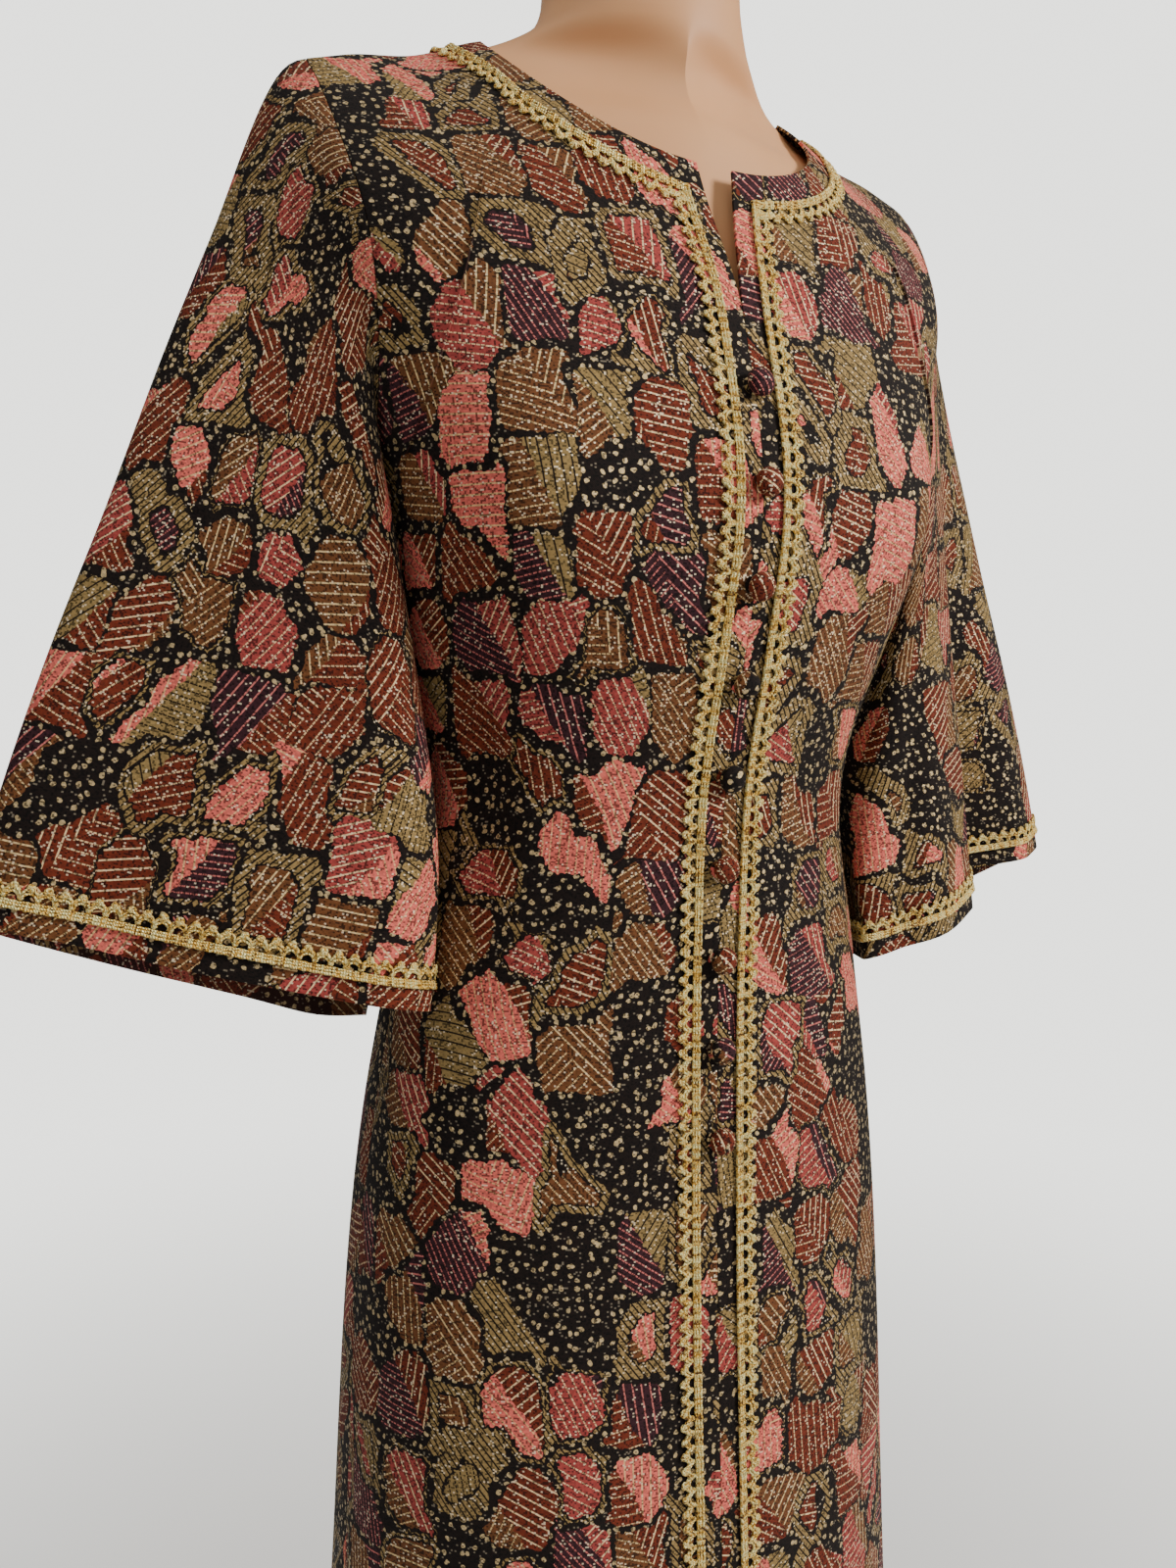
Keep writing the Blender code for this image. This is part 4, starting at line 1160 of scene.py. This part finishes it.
# The thread's colour, from painted shade between the threads through gold to a pale painted glint.
gold_painted_shade_to_glint = (
    (0.15, (0.11, 0.040, 0.005)), (0.38, (1.00, 0.56, 0.075)), (0.68, (1.00, 0.90, 0.40)),
)
gold_thread, tree, shader = new_material("gold_thread", (0.60, 0.44, 0.17), Metallic=0.2)
place = node(tree, "ShaderNodeUVMap", uv_map="cloth").outputs["UV"]
# Painted light and shade: random cells and lumps paint the thread from dark brown shade to pale gold
# glints, standing in for highlights and for the shadows between threads.
fine_cell = vectors(tree, "SNAP", place, painted_thread_glint_cell)
painted_thread_glint = node(tree, "ShaderNodeTexWhiteNoise", {"Vector": fine_cell}, noise_dimensions="2D")
on_object = node(tree, "ShaderNodeTexCoord").outputs["Object"]
coils = noise(tree, on_object, coil_scale, 1.0)
coil = spread(tree, coils.outputs["Fac"], 0.0, 1.0, *coil_spread)
painted_coil_light = maths(tree, "MULTIPLY", coil, painted_coil_light_share)
painted_thread_light_and_shade = maths(tree, "MULTIPLY_ADD", painted_thread_glint.outputs["Value"], painted_thread_glint_share, painted_coil_light)
tree.links.new(ramp(tree, painted_thread_light_and_shade, gold_painted_shade_to_glint), shader.inputs["Base Color"])
rough = maths(tree, "MULTIPLY_ADD", painted_thread_light_and_shade, *thread_roughness)
tree.links.new(rough, shader.inputs["Roughness"])
along_ply, round_ply = (
    maths(tree, "MULTIPLY", axis, turns)
    for axis, turns in zip(node(tree, "ShaderNodeSeparateXYZ", {0: place}).outputs[:2], ply_turns)
)
ply = maths(tree, "ADD", along_ply, round_ply)
ply_height = maths(tree, "SINE", maths(tree, "MULTIPLY", ply, 2 * math.pi))
emboss(tree, shader, maths(tree, "MULTIPLY_ADD", coil, coil_rise, ply_height), *thread_relief)


def sewn_braid(name, cloth, edge_line, ways, closed):
    """A braid on a piece of cloth. The line is its corded edge; the ways point across it."""
    skin_tree = skin_of(cloth)
    stretches = np.linalg.norm(np.diff(edge_line, axis=0), axis=1)
    run = np.concatenate([[0], np.cumsum(stretches)])
    repeats = round(run[-1] / braid_pitch)
    count = int(run[-1] / strand_step)
    at = np.linspace(0, run[-1], count + 1)
    line = np.stack([np.interp(at, run, edge_line[:, axis]) for axis in range(3)], axis=1)
    across = np.stack([np.interp(at, run, ways[:, axis]) for axis in range(3)], axis=1)
    start, end = across[:1].repeat(ways_window, 0), across[-1:].repeat(ways_window, 0)
    if closed:
        start, end = across[-ways_window - 1:-1], across[1:ways_window + 1]
    padded = np.concatenate([start, across, end])
    kernel = np.hanning(2 * ways_window + 3)[1:-1]
    kernel /= kernel.sum()
    across = np.stack([np.convolve(padded[:, axis], kernel, "valid") for axis in range(3)], axis=1)
    across /= np.linalg.norm(across, axis=1)[:, None]
    phase = at / run[-1] * repeats * 2 * np.pi
    points, faces, corners = [], [], []
    turn = np.linspace(0, 2 * np.pi, strand_sides, endpoint=False)
    for middle, swing, roundness, half_width, half_height in strands:
        off = middle + swing * np.abs(np.cos(phase / 2)) ** roundness
        laid, normals = [], []
        for spot in line + across * off[:, None]:
            found, normal, _, _ = skin_tree.find_nearest(Vector(spot))
            laid.append(found)
            normals.append(normal)
        laid, normals = np.array(laid), np.array(normals)
        laid = laid + normals * (half_height + strand_lift)
        forward = np.gradient(laid, axis=0)
        forward /= np.linalg.norm(forward, axis=1)[:, None]
        beside = np.cross(forward, normals)
        beside /= np.linalg.norm(beside, axis=1)[:, None]
        twist = at * 2 * np.pi / twist_pitch
        lobes = 1 + twist_depth * np.cos(2 * turn[None, :] - twist[:, None])
        ring = laid[:, None] + lobes[..., None] * (
            beside[:, None] * (np.cos(turn) * half_width)[None, :, None]
            + normals[:, None] * (np.sin(turn) * half_height)[None, :, None]
        )
        first = len(points)
        points.extend(ring.reshape(-1, 3))
        for i in range(count):
            for k in range(strand_sides):
                after = (k + 1) % strand_sides
                a, b = first + i * strand_sides, first + (i + 1) * strand_sides
                faces.append((a + k, a + after, b + after, b + k))
                u0, u1 = at[i], at[i + 1]
                v0, v1 = k * strand_cell, (k + 1) * strand_cell
                corners.extend([(u0, v0), (u0, v1), (u1, v1), (u1, v0)])
        for start, way in ((first, -1), (first + count * strand_sides, 1)):
            cap = [start + k for k in range(strand_sides)][::way]
            faces.append(tuple(cap))
            corners.extend([(0.0, strand_cell * k) for k in range(strand_sides)])
    uneven = np.random.default_rng(len(name) + repeats)
    tilts = np.radians(knot_tilts)
    around = np.linspace(0, 2 * np.pi, knot_sides, endpoint=False)
    for share, middle, radius, height in knots:
        for number in range(repeats):
            spot_at = run[-1] * (number + share) / repeats
            spot = np.array([np.interp(spot_at, at, line[:, axis]) for axis in range(3)])
            way = np.array([np.interp(spot_at, at, across[:, axis]) for axis in range(3)])
            found, normal, _, _ = skin_tree.find_nearest(Vector(spot + way * middle))
            middle_point, normal = np.array(found), np.array(normal)
            beside = np.cross(normal, way)
            first = len(points)
            size = radius * uneven.uniform(*knot_size_range)
            for tilt in tilts:
                reach = size * math.cos(tilt) * uneven.uniform(*knot_reach_range, knot_sides)
                rise = math.sin(tilt) * uneven.uniform(*knot_rise_range)
                lift = height * (knot_dome + knot_dome * rise)
                aside = way * (np.cos(around) * reach)[:, None]
                ahead_by = beside * (np.sin(around) * reach)[:, None]
                points.extend(middle_point + (aside + ahead_by) + normal * lift)
            for level in range(len(tilts) - 1):
                a, b = first + level * knot_sides, first + (level + 1) * knot_sides
                for k in range(knot_sides):
                    after = (k + 1) % knot_sides
                    faces.append((a + k, b + k, b + after, a + after))
                    u, v = number * braid_pitch + level * thread_cell, k * thread_cell
                    u_next, v_next = u + thread_cell, v + thread_cell
                    corners.extend([(u, v), (u_next, v), (u_next, v_next), (u, v_next)])
            last = first + (len(tilts) - 1) * knot_sides
            for start, way_round in ((first, 1), (last, -1)):
                faces.append(tuple(start + k for k in range(knot_sides))[::way_round])
                corners.extend([(number * braid_pitch, thread_cell * k) for k in range(knot_sides)])
    return new_piece(name, points, faces, corners, [gold_thread])


braid_start = fineness
braid_end = 2 * fineness
for side, name in ((-1, "right"), (1, "left")):
    cloth, yoke, skirt = front_cloths[side]
    points = np.array(cloth.points)
    neck = points[yoke[braid_start, :braid_start - 1:-1]]
    neck_way = points[yoke[braid_end, :braid_start - 1:-1]] - neck
    down = points[np.concatenate([yoke[braid_start + 1:, braid_start], skirt[1:, braid_start]])]
    beyond = points[np.concatenate([yoke[braid_start + 1:, braid_end], skirt[1:, braid_end]])]
    edge_line = np.concatenate([neck, down])
    ways = np.concatenate([neck_way, beyond - down])
    ways /= np.linalg.norm(ways, axis=1)[:, None]
    braid = sewn_braid(f"gimp_front_{name}", cloth, edge_line, ways, False)
    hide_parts(f"braid_front_{name}")
points = np.array(back_cloth.points)
neck_row, way_row = [], []
for side, order in ((-1, slice(None, None, -1)), (1, slice(1, None))):
    yoke = back_halves[side][0]
    neck_row.extend(points[yoke[braid_start, order]])
    way_row.extend((points[yoke[braid_end]] - points[yoke[braid_start]])[order])
ways = np.array(way_row)
ways /= np.linalg.norm(ways, axis=1)[:, None]
braid = sewn_braid("gimp_back_neck", back_cloth, np.array(neck_row), ways, False)
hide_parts("braid_back_neck")
for side, name in ((-1, "right"), (1, "left")):
    cloth, numbers = sleeves[side]
    points = np.array(cloth.points)
    edge_line = points[numbers[-1 - fineness]]
    ways = points[numbers[-1 - 2 * fineness]] - edge_line
    ways /= np.linalg.norm(ways, axis=1)[:, None]
    braid = sewn_braid(f"gimp_cuff_{name}", cloth, edge_line, ways, True)
    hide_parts(f"braid_cuff_{name}")

# Buttons: nine balls of 15 mm, covered in the knit, each with another bit of it on top.
# They are sewn to the left front's edge, and a loop of knit on the right front holds each.
button_count = 9
button_radius = 0.0076
button_height = 0.0105
first_button_drop = 0.2045
button_spacing = 0.0503
button_middle = 0.52
button_cover_share = 0.9
button_shank = [(0.0042, 0.0009), (0.0035, 0.0)]  # radius, height
button_sides = 36
button_bits = (  # where on the knit each button's cover is cut
    (3.086, 0.474), (3.142, 0.176), (3.176, 0.396), (3.168, 0.116), (3.248, 0.260),
    (3.312, 0.228), (3.376, 0.348), (3.536, 0.424), (3.492, 0.180),
)
loop_radius = 0.0012
loop_sides = 8
loop_half_length, loop_half_width, loop_aside = 0.0052, 0.0044, 0.0010
loop_start, loop_end, loop_steps = 128, 412, 25
loop_height, loop_rise = 1.05 * loop_radius, 0.0006
loop_cell = (0.0012, 0.0008)
loop_cut, loop_cut_step = 4.0, 0.03
button_angles = np.radians(np.linspace(88, -52, 22))
button_profile = [
    (
        button_radius * math.cos(angle),
        button_height * (button_middle + (1 - button_middle) * math.sin(angle)),
    )
    for angle in button_angles
] + button_shank
cloth, yoke, skirt = front_cloths[1]
centre_edge = np.array(cloth.points)[np.concatenate([yoke[:, 0], skirt[1:, 0]])]
for number in range(button_count):
    drop = first_button_drop + number * button_spacing
    heights = neck_point_height - drop + np.array([-0.5, 0.0, 0.5]) * button_radius
    depths = np.interp(heights, centre_edge[::-1, 2], centre_edge[::-1, 1])
    outward = Vector((0.0, heights[0] - heights[2], depths[2] - depths[0])).normalized()
    seat = Vector((0.0, min(depths[1], (depths[0] + depths[2]) / 2), heights[1]))
    seat = seat + outward * seam_gap
    rings = turned_rings(button_profile, button_sides)
    points, faces = closed_shell(rings)
    points = np.array(points)
    top = np.hypot(points[:, 0], points[:, 1])
    around = np.arctan2(points[:, 1], points[:, 0])
    arc = np.arcsin(np.clip(top / button_radius, 0, 1)) * button_radius * button_cover_share
    bit = np.stack([arc * np.cos(around), arc * np.sin(around)], axis=1)
    bit = bit + np.array(button_bits[number])
    corners = [bit[n] for face in faces for n in face]
    turn = outward.to_track_quat("Z", "Y").to_matrix()
    points = points @ np.array(turn).T + np.array(seat)
    ball = new_piece(
        f"covered_button_{number + 1}", points, faces, corners, [cloth_right]
    )
    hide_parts(f"button_{number + 1}")
    swing = np.radians(np.linspace(loop_start, loop_end, loop_steps))
    path = np.stack([
        loop_half_length * np.cos(swing) - loop_aside,
        loop_half_width * np.sin(swing),
        loop_height + loop_rise * np.cos(swing),
    ], axis=1)
    path = path @ np.array(turn).T + np.array(seat)
    ahead_of = np.gradient(path, axis=0)
    ahead_of /= np.linalg.norm(ahead_of, axis=1)[:, None]
    beside = np.cross(ahead_of, np.array(outward))
    around = np.linspace(0, 2 * np.pi, loop_sides, endpoint=False)
    rings = [
        spot + loop_radius * (
            side_way * np.cos(around)[:, None] + np.array(outward) * np.sin(around)[:, None]
        )
        for spot, side_way in zip(path, beside)
    ]
    points, faces = closed_shell(rings)
    bit = np.stack([
        np.repeat(np.arange(len(rings)) * loop_cell[0], loop_sides)
        + loop_cut + loop_cut_step * number,
        np.tile(np.arange(loop_sides) * loop_cell[1], len(rings)),
    ], axis=1)
    corners = [bit[n] for face in faces for n in face]
    new_piece(f"loop_{number + 1}", points, faces, corners, [cloth_right])

# Room: a pale floor that fades into an even pale surround, a soft window light on the
# wearer's left, and weaker ones in front, above and behind. None of it is in the object.
floor_reach = 3.0
floor_tones = ((0.0, (0.79, 0.78, 0.76)), (1.0, (0.82, 0.81, 0.79)))
floor_fade = (0.35, 2.4)
surround_seen = {"Color": (1.0, 1.0, 0.955, 1), "Strength": 2.3}
surround_light = {"Color": (1.0, 0.99, 0.97, 1), "Strength": 0.27}
lights = (  # name, place, aim, size, power, colour
    ("window", (1.7, -1.8, 2.1), (0, 0, 1.05), 0.7, 84.0, (1.0, 0.965, 0.92)),
    ("fill", (-1.7, -1.8, 1.3), (0, 0, 1.0), 1.6, 8.0, (1.0, 0.98, 0.96)),
    ("ceiling", (-0.5, -0.7, 2.8), (0, 0, 1.3), 1.6, 12.0, (1.0, 0.97, 0.93)),
    ("behind", (0.9, 2.2, 1.9), (0, 0, 0.9), 1.6, 34.0, (1.0, 0.98, 0.96)),
)
floor_mesh = bpy.data.meshes.new("floor")
floor_corners = [
    (x * floor_reach, y * floor_reach, 0) for x, y in ((-1, -1), (1, -1), (1, 1), (-1, 1))
]
floor_mesh.from_pydata(floor_corners, [], [(0, 1, 2, 3)])
floor = bpy.data.objects.new("floor", floor_mesh)
bpy.context.scene.collection.objects.link(floor)
floor_paint, tree, shader = new_material("floor_paint", (0.80, 0.79, 0.77), Roughness=0.9)
place = node(tree, "ShaderNodeTexCoord").outputs["Object"]
dust = noise(tree, place, 3.0, 4.0)
tree.links.new(ramp(tree, dust.outputs["Fac"], floor_tones), shader.inputs["Base Color"])
far = node(tree, "ShaderNodeVectorMath", {0: place}, operation="LENGTH").outputs["Value"]
fade = node(
    tree, "ShaderNodeMapRange",
    {"Value": far, "From Min": floor_fade[0], "From Max": floor_fade[1], "To Min": 1.0, "To Max": 0.0},
    interpolation_type="SMOOTHSTEP",
)
tree.links.new(fade.outputs["Result"], shader.inputs["Alpha"])
floor_mesh.materials.append(floor_paint)

world = bpy.data.worlds.new("surround")
bpy.context.scene.world = world
world.use_nodes = True
tree = world.node_tree
mixed = node(tree, "ShaderNodeMixShader", {
    0: node(tree, "ShaderNodeLightPath").outputs["Is Camera Ray"],
})
for socket, values in ((1, surround_light), (2, surround_seen)):
    glow = node(tree, "ShaderNodeBackground", values)
    tree.links.new(glow.outputs[0], mixed.inputs[socket])
tree.links.new(mixed.outputs[0], tree.nodes["World Output"].inputs["Surface"])
for name, place, aim, size, power, colour in lights:
    lamp = bpy.data.lights.new(name, "AREA")
    lamp.size = size
    lamp.energy = power
    lamp.color = colour
    thing = bpy.data.objects.new(name, lamp)
    thing.location = place
    thing.rotation_euler = (Vector(aim) - Vector(place)).to_track_quat("-Z", "Y").to_euler()
    bpy.context.scene.collection.objects.link(thing)
